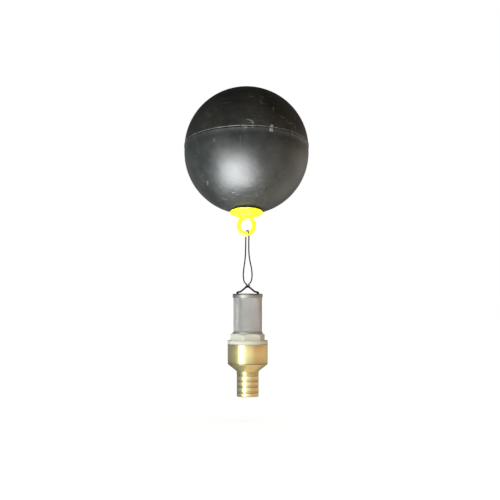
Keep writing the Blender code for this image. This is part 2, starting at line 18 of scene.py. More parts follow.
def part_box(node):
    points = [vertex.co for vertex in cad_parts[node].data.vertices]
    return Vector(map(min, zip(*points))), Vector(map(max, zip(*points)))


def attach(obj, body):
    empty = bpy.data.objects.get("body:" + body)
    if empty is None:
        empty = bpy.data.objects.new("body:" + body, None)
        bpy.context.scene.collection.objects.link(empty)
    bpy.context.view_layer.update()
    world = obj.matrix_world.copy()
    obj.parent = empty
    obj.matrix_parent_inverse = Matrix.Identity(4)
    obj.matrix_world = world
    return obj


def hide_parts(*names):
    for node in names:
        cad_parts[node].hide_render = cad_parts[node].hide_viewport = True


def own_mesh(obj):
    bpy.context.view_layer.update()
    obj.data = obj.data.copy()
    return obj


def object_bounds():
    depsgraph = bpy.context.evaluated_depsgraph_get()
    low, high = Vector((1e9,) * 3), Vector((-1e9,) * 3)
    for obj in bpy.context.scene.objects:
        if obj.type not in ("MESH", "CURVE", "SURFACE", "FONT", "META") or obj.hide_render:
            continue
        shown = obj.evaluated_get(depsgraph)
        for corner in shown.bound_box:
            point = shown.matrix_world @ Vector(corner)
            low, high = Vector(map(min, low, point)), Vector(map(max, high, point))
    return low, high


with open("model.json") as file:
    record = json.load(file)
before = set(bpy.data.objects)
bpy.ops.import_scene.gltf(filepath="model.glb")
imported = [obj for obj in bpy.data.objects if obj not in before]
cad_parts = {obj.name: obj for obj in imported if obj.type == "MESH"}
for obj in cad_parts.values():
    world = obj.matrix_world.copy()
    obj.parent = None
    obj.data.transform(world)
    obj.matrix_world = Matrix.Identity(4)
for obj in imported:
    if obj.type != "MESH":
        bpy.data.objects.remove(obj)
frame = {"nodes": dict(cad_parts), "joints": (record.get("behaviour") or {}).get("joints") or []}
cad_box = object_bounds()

MM = 0.001

# %% [markdown]
# The unit has two axes. The float is turned about its own axis, which leans towards the viewer, and
# everything below the eye is turned about a plumb line through the point where the cord bears. Both come
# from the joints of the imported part, so nothing has to be fitted by eye.

# %% The two axes
pivots = {joint["name"]: Vector(joint["pos_m"]) for joint in frame["joints"] if "pos_m" in joint}
hook, junction = pivots["loop_swing"], pivots["bridle_sway"]
lean = math.atan2(-hook.y, -hook.z)
leaned = Matrix.Rotation(-lean, 4, "X")
axis_point = (hook.x, hook.y, 0)
plumb = Matrix.Translation(axis_point)
print(f"the float leans {math.degrees(lean):.1f} degrees, the plumb line is at {hook.x:.4f}, {hook.y:.4f}")

# %% [markdown]
# The camera stands well back, level with the cord, and looks straight along +Y. Making it first shows at
# once whether the whole unit is in view.

# %% The camera
CAMERA_ASIDE, CAMERA_AWAY, CAMERA_LEVEL = 0.0043, 2.2, -0.122
camera = bpy.data.objects.new("camera", bpy.data.cameras.new("camera"))
bpy.context.scene.collection.objects.link(camera)
camera.location = (CAMERA_ASIDE, -CAMERA_AWAY, CAMERA_LEVEL)
camera.rotation_euler.x = radians(90)
camera.data.lens = 129.36  # a long lens, so there is little perspective
camera.data.sensor_width = 36.0
bpy.context.scene.camera = camera
bpy.context.scene.view_settings.view_transform = "Standard"
print("camera at", tuple(round(v, 3) for v in camera.location))

# %% [markdown]
# Shaders are made of nodes, and most of what a material needs is the same three steps: add a node, give
# its sockets values, and link its outputs. One small helper does all of it, for materials, groups and the
# world alike.

# %% A helper that adds a node
def node(tree, kind, inputs=None, **settings):
    """Adds a node. A socket's value may be a plain value or another node's output."""
    made = tree.nodes.new(kind)
    for name, value in settings.items():
        setattr(made, name, value)
    for socket, value in (inputs or {}).items():
        if isinstance(value, bpy.types.NodeSocket):
            tree.links.new(value, made.inputs[socket])
        else:
            made.inputs[socket].default_value = value
    return made


def ramp(tree, factor, stops):
    """A colour ramp from (position, grey or colour) stops."""
    made = node(tree, "ShaderNodeValToRGB", {"Fac": factor})
    while len(made.color_ramp.elements) < len(stops):
        made.color_ramp.elements.new(0.5)
    for element, (position, shade) in zip(made.color_ramp.elements, stops):
        element.position = position
        element.color = (*shade, 1) if hasattr(shade, "__len__") else (shade, shade, shade, 1)
    return made.outputs["Color"]


def mixed(tree, factor, a, b, kind="MIX"):
    made = node(tree, "ShaderNodeMix", data_type="RGBA", blend_type=kind)
    for socket, value in ((made.inputs[0], factor), (made.inputs[6], a), (made.inputs[7], b)):
        if isinstance(value, bpy.types.NodeSocket):
            tree.links.new(value, socket)
        elif socket.type == "RGBA" and len(value) == 3:
            socket.default_value = (*value, 1)
        else:
            socket.default_value = value
    return made.outputs[2]


def math_node(tree, operation, *values, clamp=False):
    made = node(tree, "ShaderNodeMath", operation=operation, use_clamp=clamp)
    for socket, value in zip(made.inputs, values):
        if isinstance(value, bpy.types.NodeSocket):
            tree.links.new(value, socket)
        else:
            socket.default_value = value
    return made.outputs[0]


# %% [markdown]
# A product like this is shot on white, with a large soft lamp low on the left and walls that are dim
# above and warm on the right. The walls are the world: the camera sees it plain white, and every other
# ray sees a soft gradient, which is what gives glossy plastic and brass their shape.

# %% The world
# Wall colours by compass bearing from the viewer's side, in degrees towards +X
WALLS = [
    (-180, (0.38, 0.37, 0.36)), (-130, (0.28, 0.29, 0.31)), (-80, (0.46, 0.50, 0.46)),
    (-30, (0.86, 0.92, 0.86)), (0, (0.98, 1.02, 0.92)), (22, (0.76, 0.68, 0.56)), (48, (0.90, 0.66, 0.46)),
    (75, (0.82, 0.60, 0.42)), (108, (0.78, 0.58, 0.42)), (148, (0.56, 0.50, 0.44)), (180, (0.38, 0.37, 0.36)),
]
# How bright they are by height: 0 is straight down, 0.5 is level and 1 is straight up
BRIGHTNESS = [
    (0.0, 1.15), (0.10, 0.95), (0.26, 0.42), (0.36, 0.42), (0.455, 1.0), (0.525, 1.0), (0.60, 0.28),
    (0.85, 0.12),
]
world = bpy.data.worlds.new("studio")
bpy.context.scene.world = world
world.use_nodes = True
walls = world.node_tree
walls.nodes.clear()
direction = node(walls, "ShaderNodeTexCoord").outputs["Generated"]
split = node(walls, "ShaderNodeSeparateXYZ", {"Vector": direction}).outputs
bearing = math_node(walls, "ARCTAN2", split["X"], math_node(walls, "MULTIPLY", split["Y"], -1.0))
sideways = math_node(walls, "MULTIPLY_ADD", bearing, 1 / (2 * pi), 0.5)
upwards = math_node(walls, "MULTIPLY_ADD", split["Z"], 0.5, 0.5)
across = ramp(walls, sideways, [(degrees / 360 + 0.5, shade) for degrees, shade in WALLS])
shaded = mixed(walls, 1.0, across, ramp(walls, upwards, BRIGHTNESS), "MULTIPLY")
seen = node(walls, "ShaderNodeLightPath").outputs["Is Camera Ray"]
backdrop = mixed(walls, seen, shaded, (1, 1, 1))
node(walls, "ShaderNodeOutputWorld",
     {"Surface": node(walls, "ShaderNodeBackground", {"Color": backdrop}).outputs[0]})
print("world made with", len(walls.nodes), "nodes")

# %% [markdown]
# Five lamps do the rest. Light linking gives the ball two of its own: a wide softbox below and to the
# left, which draws its big soft highlight, and a weak one behind it on the right for its rim. The valve
# has a tall narrow one on the left, which draws the streak down the brass, and a broad one in front. The
# large one overhead lights everything and shows in no reflection.

# %% The lamps
def softbox(name, place, target, size, power, colour=(1, 1, 1)):
    lamp = bpy.data.objects.new(name, bpy.data.lights.new(name, "AREA"))
    bpy.context.scene.collection.objects.link(lamp)
    lamp.data.shape = "RECTANGLE"
    lamp.data.size, lamp.data.size_y = size
    lamp.data.energy = power
    lamp.data.color = colour
    lamp.location = place
    aim = Vector(target) - Vector(place)
    lamp.rotation_euler = aim.to_track_quat("-Z", "Y").to_euler()
    lamp.visible_camera = False
    print(name, "at", round(aim.length, 2), "m")
    return lamp


IVORY = (1.0, 0.99, 0.95)
ball_key = softbox("ball_key", place=(-0.232, -0.562, -0.471), target=(0, 0, -0.03), size=(0.68, 0.74),
                   power=29.0, colour=(0.95, 0.98, 1.0))
rim_fill = softbox("rim_fill", place=(0.75, 0.35, -0.35), target=(0, 0, 0), size=(0.8, 0.8),
                   power=1.6, colour=(1.0, 0.97, 0.9))
streak = softbox("streak", place=(-0.47, -0.675, -0.25), target=(hook.x, hook.y, -0.25), size=(0.36, 1.1),
                 power=3.9, colour=IVORY)
front_fill = softbox("front_fill", place=(0.1, -1.3, -0.15), target=(hook.x, hook.y, -0.24), size=(1.4, 0.9),
                     power=1.3, colour=IVORY)
overhead = softbox("overhead", place=(0.1, 0.15, 1.1), target=(0, 0, -0.2), size=(0.9, 0.9), power=5.0)
overhead.visible_glossy = False

ball_lit, valve_lit = bpy.data.collections.new("ball_lit"), bpy.data.collections.new("valve_lit")
for lamp, lit in ((ball_key, ball_lit), (rim_fill, ball_lit), (streak, valve_lit), (front_fill, valve_lit)):
    lamp.light_linking.receiver_collection = lit

# %% [markdown]
# The floor is a plain pale sheet. It glows almost as white as the backdrop, and just as white further
# away, and it is a little lit as well, so it vanishes into the backdrop except where the unit shades it.

# %% The floor
def mesh_from(bm, name):
    """Ends a bmesh as a mesh."""
    mesh = bpy.data.meshes.new(name)
    bm.to_mesh(mesh)
    bm.free()
    return mesh


FLOOR_DROP = 0.029  # the tail's end hangs this far above the floor
FLOOR_REACH = 6.0
NEAR, FAR = 0.34, 0.8  # the glow rises between these distances from the ball's centre
NEAR_GLOW, FAR_GLOW = 0.925, 1.0
floor_level = cad_box[0].z - FLOOR_DROP
bm = bmesh.new()
bmesh.ops.create_grid(bm, x_segments=1, y_segments=1, size=FLOOR_REACH,
                      matrix=Matrix.Translation((0, 0, floor_level)))
floor_mesh = mesh_from(bm, "floor")
floor = bpy.data.objects.new("floor", floor_mesh)
bpy.context.scene.collection.objects.link(floor)
paper = bpy.data.materials.new("paper")
paper.use_nodes = True
shader = paper.node_tree.nodes["Principled BSDF"]
shader.inputs["Base Color"].default_value = (0.30, 0.30, 0.30, 1)
shader.inputs["Roughness"].default_value = 1.0
shader.inputs["Specular IOR Level"].default_value = 0.0
shader.inputs["Emission Color"].default_value = (1, 1, 1, 1)
spot = node(paper.node_tree, "ShaderNodeTexCoord").outputs["Object"]
away = node(paper.node_tree, "ShaderNodeVectorMath", {0: spot}, operation="LENGTH").outputs["Value"]
glow = node(paper.node_tree, "ShaderNodeMapRange",
            {"Value": away, "From Min": NEAR, "From Max": FAR, "To Min": NEAR_GLOW, "To Max": FAR_GLOW})
paper.node_tree.links.new(glow.outputs[0], shader.inputs["Emission Strength"])
floor_mesh.materials.append(paper)
floor.visible_glossy = floor.visible_diffuse = floor.visible_shadow = floor.visible_transmission = False
print("floor at", round(floor_level, 3))

# %% [markdown]
# Every finished mesh becomes a piece in the same way: it is linked at the origin, shaded smooth with
# sharp edges kept, given its finish and its lamps, and told which body it rides on, and the plain
# solids it stands for are hidden.

# %% A helper that makes a mesh a piece
def piece(name, mesh, body, slot, material, *stands_for, sharp=35):
    mesh.shade_smooth()
    mesh.set_sharp_from_angle(angle=radians(sharp))
    mesh.materials.clear()
    mesh.materials.append(material)
    made = bpy.data.objects.new(name, mesh)
    bpy.context.scene.collection.objects.link(made)
    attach(made, body)
    (ball_lit if body == "float" else valve_lit).objects.link(made)
    if stands_for:
        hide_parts(*stands_for)
    print(f"{name}: {len(mesh.polygons)} faces")
    return made


def mesh_of(bm, name, place=None):
    """Ends a bmesh as a mesh, put in its place, with its faces outwards."""
    if place is not None:
        bm.transform(place)
    bmesh.ops.recalc_face_normals(bm, faces=bm.faces)
    return mesh_from(bm, name)


# %% [markdown]
# Nothing real has one flat colour. Three effects come back in almost every finish here: colour that
# drifts in clouds, fine scuffs that catch the light, and the rings that a lathe leaves. Each is a node
# group with its own inputs, so that one recipe serves plastic, steel and brass.

# %% The shared effects
def new_group(name, inputs, outputs):
    group = bpy.data.node_groups.new(name, "ShaderNodeTree")
    for title, kind, value in inputs:
        socket = group.interface.new_socket(title, in_out="INPUT", socket_type=kind)
        if value is not None:
            socket.default_value = value
    for title, kind in outputs:
        group.interface.new_socket(title, in_out="OUTPUT", socket_type=kind)
    return group, node(group, "NodeGroupInput").outputs, node(group, "NodeGroupOutput")


NUMBER, COLOUR, VECTOR = "NodeSocketFloat", "NodeSocketColor", "NodeSocketVector"

clouds, given, result = new_group(
    "clouds",
    [("Vector", VECTOR, None), ("Scale", NUMBER, 60.0), ("Colour A", COLOUR, None),
     ("Colour B", COLOUR, None)],
    [("Colour", COLOUR), ("Mask", NUMBER)],
)
drift = node(clouds, "ShaderNodeTexNoise",
             {"Vector": given["Vector"], "Scale": given["Scale"], "Detail": 6.0, "Roughness": 0.62})
mask = node(clouds, "ShaderNodeMapRange",
            {"Value": drift.outputs["Fac"], "From Min": 0.34, "From Max": 0.66}).outputs[0]
clouds.links.new(mask, result.inputs["Mask"])
clouds.links.new(mixed(clouds, mask, given["Colour A"], given["Colour B"]), result.inputs["Colour"])

scuffs, given, result = new_group(
    "scuffs",
    [("Vector", VECTOR, None), ("Scale", NUMBER, 40.0), ("Amount", NUMBER, 0.5)],
    [("Mask", NUMBER), ("Height", NUMBER)],
)
strokes = []
for turn, stretch in ((0.5, (1.0, 14.0, 1.0)), (-0.9, (12.0, 1.0, 1.0)), (1.7, (1.0, 1.0, 16.0))):
    turned_to = node(scuffs, "ShaderNodeMapping",
                     {"Vector": given["Vector"], "Rotation": (turn, turn / 2, turn), "Scale": stretch})
    stroke = node(scuffs, "ShaderNodeTexNoise",
                  {"Vector": turned_to.outputs[0], "Scale": given["Scale"], "Detail": 2.0, "Distortion": 0.4})
    strokes.append(node(scuffs, "ShaderNodeMapRange",
                        {"Value": stroke.outputs["Fac"], "From Min": 0.68, "From Max": 0.76}).outputs[0])
patchy = node(scuffs, "ShaderNodeTexNoise", {"Vector": given["Vector"], "Scale": 22.0, "Detail": 3.0})
where = node(scuffs, "ShaderNodeMapRange",
             {"Value": patchy.outputs["Fac"], "From Min": 0.45, "From Max": 0.7}).outputs[0]
together = math_node(scuffs, "ADD", math_node(scuffs, "ADD", strokes[0], strokes[1]), strokes[2], clamp=True)
wear = math_node(scuffs, "MULTIPLY", math_node(scuffs, "MULTIPLY", together, where), given["Amount"])
scuffs.links.new(wear, result.inputs["Mask"])
scuffs.links.new(math_node(scuffs, "MULTIPLY", wear, -1.0), result.inputs["Height"])

rings, given, result = new_group(
    "lathe rings",
    [("Vector", VECTOR, None), ("Scale", NUMBER, 900.0)],
    [("Mask", NUMBER), ("Height", NUMBER)],
)
parts = node(rings, "ShaderNodeSeparateXYZ", {"Vector": given["Vector"]}).outputs
radius = math_node(rings, "SQRT", math_node(rings, "ADD", math_node(rings, "MULTIPLY", parts[0], parts[0]),
                                            math_node(rings, "MULTIPLY", parts[1], parts[1])))
round_it = node(rings, "ShaderNodeCombineXYZ", {"X": radius, "Z": parts[2]}).outputs[0]
groove = node(rings, "ShaderNodeTexNoise",
              {"Vector": round_it, "Scale": given["Scale"], "Detail": 3.0, "Roughness": 0.7})
rings.links.new(groove.outputs["Fac"], result.inputs["Height"])
rings.links.new(node(rings, "ShaderNodeMapRange", {"Value": groove.outputs["Fac"], "From Min": 0.35,
                                                   "From Max": 0.65}).outputs[0], result.inputs["Mask"])
print("groups:", [group.name for group in bpy.data.node_groups])

# %% [markdown]
# A material starts from the same few steps too: object coordinates centred on the piece's own axis, a
# Principled shader whose plain numbers sit on its own sockets, and a bump for the fine relief.

# %% A helper that starts a material
def new_material(name, centre=(0, 0, 0), turn=(0, 0, 0), **plain):
    material = bpy.data.materials.new(name)
    material.use_nodes = True
    tree = material.node_tree
    shader = tree.nodes["Principled BSDF"]
    for socket, value in plain.items():
        shader.inputs[socket.replace("_", " ")].default_value = value
    place = node(tree, "ShaderNodeMapping",
                 {"Vector": node(tree, "ShaderNodeTexCoord").outputs["Object"],
                  "Location": [-v for v in centre], "Rotation": turn}).outputs[0]
    return material, tree, shader, place


def use(tree, group, **inputs):
    made = node(tree, "ShaderNodeGroup", node_tree=group)
    for title, value in inputs.items():
        socket = made.inputs[title.replace("_", " ")]
        if isinstance(value, bpy.types.NodeSocket):
            tree.links.new(value, socket)
        else:
            socket.default_value = (*value, 1) if socket.type == "RGBA" else value
    return made.outputs


def fine_noise(tree, place, scale, detail=4.0):
    made = node(tree, "ShaderNodeTexNoise", {"Vector": place, "Scale": scale, "Detail": detail})
    return made.outputs["Fac"]


def spread(tree, value, low, high):
    """A 0 to 1 value spread between two others."""
    return node(tree, "ShaderNodeMapRange", {"Value": value, "To Min": low, "To Max": high}).outputs[0]


def bump(tree, shader, heights):
    """Chains (height, distance in metres, strength) reliefs into the shader's normal."""
    normal = None
    for value, distance, strength in heights:
        inputs = {"Height": value, "Distance": distance, "Strength": strength}
        if normal is not None:
            inputs["Normal"] = normal
        normal = node(tree, "ShaderNodeBump", inputs).outputs[0]
    tree.links.new(normal, shader.inputs["Normal"])


# %% [markdown]
# The cord is a thin laid nylon line: three strands twisted together, black and rather shiny. A single
# smooth tube would look like wire, so each strand is its own tube that winds round the route. The route's
# points are the part's own, and a smooth curve is read through them.

# %% The cord's finish
cord_black, tree, shader, place = new_material("cord_black", Roughness=0.45, Specular_IOR_Level=0.45)
tone = use(tree, clouds, Vector=place, Scale=260.0, Colour_A=(0.010, 0.010, 0.010),
           Colour_B=(0.026, 0.026, 0.025))
tree.links.new(tone["Colour"], shader.inputs["Base Color"])
tree.links.new(spread(tree, tone["Mask"], 0.42, 0.55), shader.inputs["Roughness"])
bump(tree, shader, [(fine_noise(tree, place, 2600.0), 0.0001, 0.35)])

# %% Strands that wind round a route
FINE = 40  # short stretches between two of a route's points
PRESSED = 1.04  # laid strands are this much fatter, because they press into each other


def through(route, step):
    """Points about one step apart on the smooth curve through the route's points, and its length."""
    ends = [2 * route[0] - route[1], *route, 2 * route[-1] - route[-2]]
    fine = [route[0]]
    for before, a, b, after in zip(ends, ends[1:], ends[2:], ends[3:]):
        fine += interpolate_bezier(a, a + (b - before) / 6, b - (after - a) / 6, b, FINE)[1:]
    length = sum((b - a).length for a, b in zip(fine, fine[1:]))
    wanted = length / round(length / step)
    points, travelled = [fine[0]], 0.0
    for a, b in zip(fine, fine[1:]):
        travelled += (b - a).length
        if travelled >= wanted * len(points) - 1e-9:
            points.append(b)
    points[-1] = fine[-1]
    return points, length


def tubes(name, lines, radius, sides=1, cyclic=False):
    """A mesh of round tubes along lists of points."""
    curve = bpy.data.curves.new(name, "CURVE")
    curve.dimensions = "3D"
    curve.bevel_depth = radius
    curve.bevel_resolution = sides
    curve.use_fill_caps = True
    for line in lines:
        spline = curve.splines.new("POLY")
        spline.points.add(len(line) - 1)
        for point, where_to in zip(spline.points, line):
            point.co = (*where_to, 1)
        spline.use_cyclic_u = cyclic
    helper = bpy.data.objects.new(name, curve)
    mesh = bpy.data.meshes.new_from_object(helper)
    bpy.data.objects.remove(helper)
    bm = bmesh.new()
    bm.from_mesh(mesh)
    bmesh.ops.remove_doubles(bm, verts=bm.verts, dist=1e-7)
    return mesh_of(bm, name)


def laid(name, points, radius, strands, turn_length):
    """Strands that wind round the points, so that together they are a cord of this radius."""
    share = sin(pi / strands)
    strand_radius = radius * share / (1 + share)
    side = (points[1] - points[0]).orthogonal().normalized()
    lines, travelled = [[] for _ in range(strands)], 0.0
    for i, point in enumerate(points):
        ahead = (points[min(i + 1, len(points) - 1)] - points[max(i - 1, 0)]).normalized()
        side = (side - ahead * side.dot(ahead)).normalized()
        if i:
            travelled += (point - points[i - 1]).length
        for k, line in enumerate(lines):
            angle = 2 * pi * (travelled / turn_length + k / strands)
            line.append(point + Matrix.Rotation(angle, 3, ahead) @ side * (radius - strand_radius))
    return tubes(name, lines, strand_radius * PRESSED)


def millimetres(origin, *points):
    return [origin + Vector(p) * MM for p in points]


# %% [markdown]
# The loop starts at the junction knot, runs up its right strand, over the eye's ring from front to back,
# and down its left strand to the knot again. Its two strands bow apart above the knot, because the cord
# is springy and keeps the curve it was tied in.

# %% The loop
LOOP_DIAMETER = 1.7 * MM
LOOP_TURN = 4.6 * MM  # the cord's strands go once round in this length
STRANDS = 3
loop_route = millimetres(
    hook, (0.6, 0.0, -61.9), (1.3, 0.0, -61.0), (2.9, -0.1, -59.2), (4.2, -0.3, -56.9), (5.1, -0.6, -53.1),
    (5.2, -0.9, -47.6), (4.4, -1.5, -40.5), (2.9, -2.2, -33.5), (1.7, -2.9, -25.6), (1.3, -3.6, -15.3),
    (1.4, -4.1, -6.0), (1.4, -4.15, -1.5), (1.2, -3.6, 2.1), (0.7, -1.9, 3.75), (0.0, 0.1, 4.15),
    (-0.9, 2.1, 3.65), (-1.7, 3.7, 2.0), (-2.2, 4.15, -1.5), (-2.3, 4.0, -7.0), (-2.5, 3.5, -16.4),
    (-2.8, 2.8, -25.6), (-3.6, 2.1, -34.3), (-4.7, 1.4, -41.9), (-5.3, 0.9, -49.3), (-4.9, 0.5, -54.4),
    (-4.1, 0.2, -57.7), (-2.8, 0.1, -59.5), (-1.3, 0.0, -61.0), (-0.6, 0.0, -61.9),
)
loop_points, loop_length = through(loop_route, 0.35 * MM)
loop_mesh = laid("loop_cord_laid", loop_points, LOOP_DIAMETER / 2, STRANDS, LOOP_TURN)
loop = piece("loop_cord_laid", loop_mesh, "loop", "cord_black", cord_black, "loop_cord", sharp=60)
print(f"loop {loop_length / MM:.1f} mm long")

# %% [markdown]
# The bridle is the same line doubled, so it is thicker. It runs from the knot on the left of the
# strainer's cap, under the junction knot, to the knot on the right.

# %% The bridle
BRIDLE_DIAMETER = 2.3 * MM
BRIDLE_TURN = 5.2 * MM
half_route = (
    (1.85, 0.0, -1.5), (3.5, 0.0, -2.6), (5.5, 0.0, -4.3), (7.6, 0.0, -6.0), (9.1, 0.0, -6.9),
    (10.6, 0.0, -7.1), (11.8, 0.0, -7.4), (12.3, 0.0, -8.3), (12.3, 0.0, -9.3),
)
bridle_route = millimetres(
    junction, *((-x, y, z) for x, y, z in reversed(half_route)), (0.0, 0.0, -0.7), *half_route)
bridle_points, bridle_length = through(bridle_route, 0.3 * MM)
bridle_mesh = laid("bridle_cord_laid", bridle_points, BRIDLE_DIAMETER / 2, STRANDS, BRIDLE_TURN)
bridle = piece("bridle_cord_laid", bridle_mesh, "bridle", "cord_black", cord_black,
               "leg_cord_left", "leg_cord_right", sharp=60)
print(f"bridle {bridle_length / MM:.1f} mm long")

# %% [markdown]
# Three knots hold the cord. The junction is a flat half knot, two turns of line drawn tight, and each
# leg ends at the cap in an overhand knot, which is a trefoil: its centre line is one short formula.

# %% The knots
HALF_KNOT_TURNS, HALF_KNOT_STEPS = 2.5, 60
HALF_KNOT_LENGTH, HALF_KNOT_TUBE = 5.0 * MM, 0.66 * MM
CAP_KNOT_STEPS, CAP_KNOT_TUBE, CAP_KNOT_DROP = 96, 0.70 * MM, 0.75 * MM
CAP_KNOT_TURNS = {"left": radians(20), "right": radians(-20)}
junction_line = []
for i in range(HALF_KNOT_STEPS + 1):
    along = i / HALF_KNOT_STEPS - 0.5
    turn = 2 * pi * HALF_KNOT_TURNS * along
    coiled = Vector((HALF_KNOT_LENGTH * along, 0.78 * MM * cos(turn), 0.72 * MM * sin(turn) - 0.1 * MM))
    junction_line.append(junction + coiled)
junction_knot = piece("junction_half_knot", tubes("junction_half_knot", [junction_line], HALF_KNOT_TUBE, 2),
                      "bridle", "cord_black", cord_black, "junction_knot", sharp=60)


def overhand(name, centre, size, tube, turn):
    """A trefoil of this size across, in a tube of this radius."""
    line = []
    for i in range(CAP_KNOT_STEPS):
        t = 2 * pi * i / CAP_KNOT_STEPS
        point = Vector((sin(t) + 2 * sin(2 * t), 0.8 * (cos(t) - 2 * cos(2 * t)), -0.75 * sin(3 * t)))
        line.append(centre + Matrix.Rotation(turn, 3, "X") @ point * ((size / 2 - tube) / 3))
    return tubes(name, [line], tube, 2, cyclic=True)


for side, turn in CAP_KNOT_TURNS.items():
    low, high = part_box(f"cap_knot_{side}")
    name = f"cap_overhand_{side}"
    centre = (low + high) / 2 - Vector((0, 0, CAP_KNOT_DROP))
    knot = overhand(name, centre, high.x - low.x, CAP_KNOT_TUBE, turn)
    piece(name, knot, "bridle", "cord_black", cord_black, f"cap_knot_{side}", sharp=60)

# %% [markdown]
# Round pieces are turned, as on a lathe: an outline of radius and height is spun about the axis. The
# bevel then breaks every edge that the outline left sharp, and leaves the smooth curves alone.

# %% A helper that turns an outline
def arc(centre, radius, start, end, steps):
    angles = [radians(start + (end - start) * i / steps) for i in range(steps + 1)]
    return [(centre[0] + radius * cos(a), centre[1] + radius * sin(a)) for a in angles]


def turned(name, outline, place, facets=128, edge=0.0, segments=2):
    bm = bmesh.new()
    points = [bm.verts.new((r, 0, z)) for r, z in outline]
    pairs = [pair for pair in zip(points, points[1:] + points[:1]) if any(v.co.x > 0 for v in pair)]
    bmesh.ops.spin(bm, geom=points + [bm.edges.new(pair) for pair in pairs], cent=(0, 0, 0), axis=(0, 0, 1),
                   angle=2 * pi, steps=facets, use_merge=True)
    bmesh.ops.remove_doubles(bm, verts=bm.verts, dist=1e-7)
    bmesh.ops.recalc_face_normals(bm, faces=bm.faces)
    if edge:
        corners = [e for e in bm.edges if e.is_manifold and e.calc_face_angle() > radians(25)]
        bmesh.ops.bevel(bm, geom=corners, offset=edge, segments=segments, profile=0.5, affect="EDGES",
                        material=-1, clamp_overlap=True)
    return mesh_of(bm, name, place)


# %% [markdown]
# The float is blown from black polyethylene in two halves. The plastic is a shade uneven, with a fine
# orange-peel skin, dusty clouds and the scuffs of handling. Its soft gloss is what spreads the lamp's
# reflection into a wide glow.

# %% The float's finish
def float_plastic(name, dark, light, roughness, dust):
    material, tree, shader, place = new_material(name, turn=(lean, 0, 0), Specular_IOR_Level=0.62)
    tone = use(tree, clouds, Vector=place, Scale=34.0, Colour_A=dark, Colour_B=light)
    speck = use(tree, clouds, Vector=place, Scale=210.0, Colour_A=(0, 0, 0), Colour_B=(1, 1, 1))
    marks = use(tree, scuffs, Vector=place, Scale=60.0, Amount=1.0)
    dust_and_shade = math_node(tree, "MULTIPLY", math_node(tree, "MULTIPLY", tone["Mask"], speck["Mask"]), dust)
    dusty = mixed(tree, dust_and_shade, tone["Colour"], (0.17, 0.16, 0.13))
    worn = mixed(tree, math_node(tree, "MULTIPLY", marks["Mask"], 0.55), dusty, (0.26, 0.26, 0.24))
    tree.links.new(worn, shader.inputs["Base Color"])
    rough = spread(tree, tone["Mask"], roughness - 0.03, roughness + 0.05)
    tree.links.new(math_node(tree, "ADD", rough, math_node(tree, "MULTIPLY", marks["Mask"], 0.12)),
                   shader.inputs["Roughness"])
    bump(tree, shader, [
        (fine_noise(tree, place, 46.0, 2.0), 0.004, 0.10),
        (fine_noise(tree, place, 900.0, 3.0), 0.0004, 0.10),
        (marks["Height"], 0.0004, 0.5),
    ])
    return material


# painted light and shade: both shells are the same black plastic, but the lower one is painted lighter and
# cooler than the upper, for the lamp below it and the dim walls above
upper_black = float_plastic(
    "float_upper_black", dark=(0.0045, 0.0042, 0.0034), light=(0.0105, 0.0098, 0.0076),
    roughness=0.44, dust=0.06)
lower_black = float_plastic(
    "float_lower_black", dark=(0.0060, 0.0072, 0.0070), light=(0.0125, 0.0140, 0.0130),
    roughness=0.40, dust=0.035)

# %% [markdown]
# The ball is round above and below a short straight band. Its two shells meet in a weld just above the
# band. The lower shell's rim stands a little proud, and the upper one's edge is rounded back above it, so
# the joint draws a dark line over a light one all the way round.

# %% The two halves
BELT = 2.5 * MM  # half the height of the straight band
WALL = 3.2 * MM
LIP = 0.38 * MM  # the lower rim stands proud by this
low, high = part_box("float_shell_lower")
FLOAT_R = (high.x - low.x) / 2
NECK_R = 5.0 * MM  # the hole for the eye's stud
SEAM = 6.2 * MM  # the shells meet this far above the centre
SEAM_HALF = 0.15 * MM  # half the gap that the weld fills
FACETS = 160  # round the widest turned pieces


def skin(z, inset=0.0):
    """A point on the ball's outside at this height, drawn in by the inset."""
    over = max(abs(z) - BELT, 0)
    return math.sqrt(FLOAT_R**2 - over**2) - inset, z


def dome(radius, start, end, steps, side=1):
    """A half's round part between two angles above its belt, upwards or, with side -1, downwards."""
    return [(r, side * (z + BELT)) for r, z in arc((0, 0), radius, start, end, steps)]


upper = [*dome(FLOAT_R, 90, 4.5, 44), skin(SEAM + 1.3 * MM), skin(SEAM + 0.8 * MM, 0.10 * MM),
         skin(SEAM + 0.4 * MM, 0.36 * MM), skin(SEAM + SEAM_HALF, 0.8 * MM), skin(SEAM + SEAM_HALF, WALL),
         *dome(FLOAT_R - WALL, 6, 90, 20)]
piece("float_upper", turned("float_upper", upper, leaned, FACETS), "float", "float_black", upper_black,
      "float_shell_upper")
neck = 90 - math.degrees(math.asin(NECK_R / FLOAT_R))
lower = [*dome(FLOAT_R, neck, 0, 44, -1), skin(SEAM - 3.1 * MM, -0.05 * MM),
         skin(SEAM - 2.5 * MM, -(LIP - 0.08 * MM)), skin(SEAM - 2.0 * MM, -LIP), skin(SEAM - 0.75 * MM, -LIP),
         skin(SEAM - 0.35 * MM, -(LIP - 0.12 * MM)), skin(SEAM - SEAM_HALF, 0.1 * MM),
         skin(SEAM - SEAM_HALF, WALL), *dome(FLOAT_R - WALL, 0, neck - 1, 20, -1)]
piece("float_lower", turned("float_lower", lower, leaned, FACETS), "float", "float_black", lower_black,
      "float_shell_lower")

# %% [markdown]
# Where the hot halves were pressed together, plastic squeezed out as a thin uneven bead. It is a small
# ring turned round the joint, whose points are then nudged by a noise that runs round the ball.

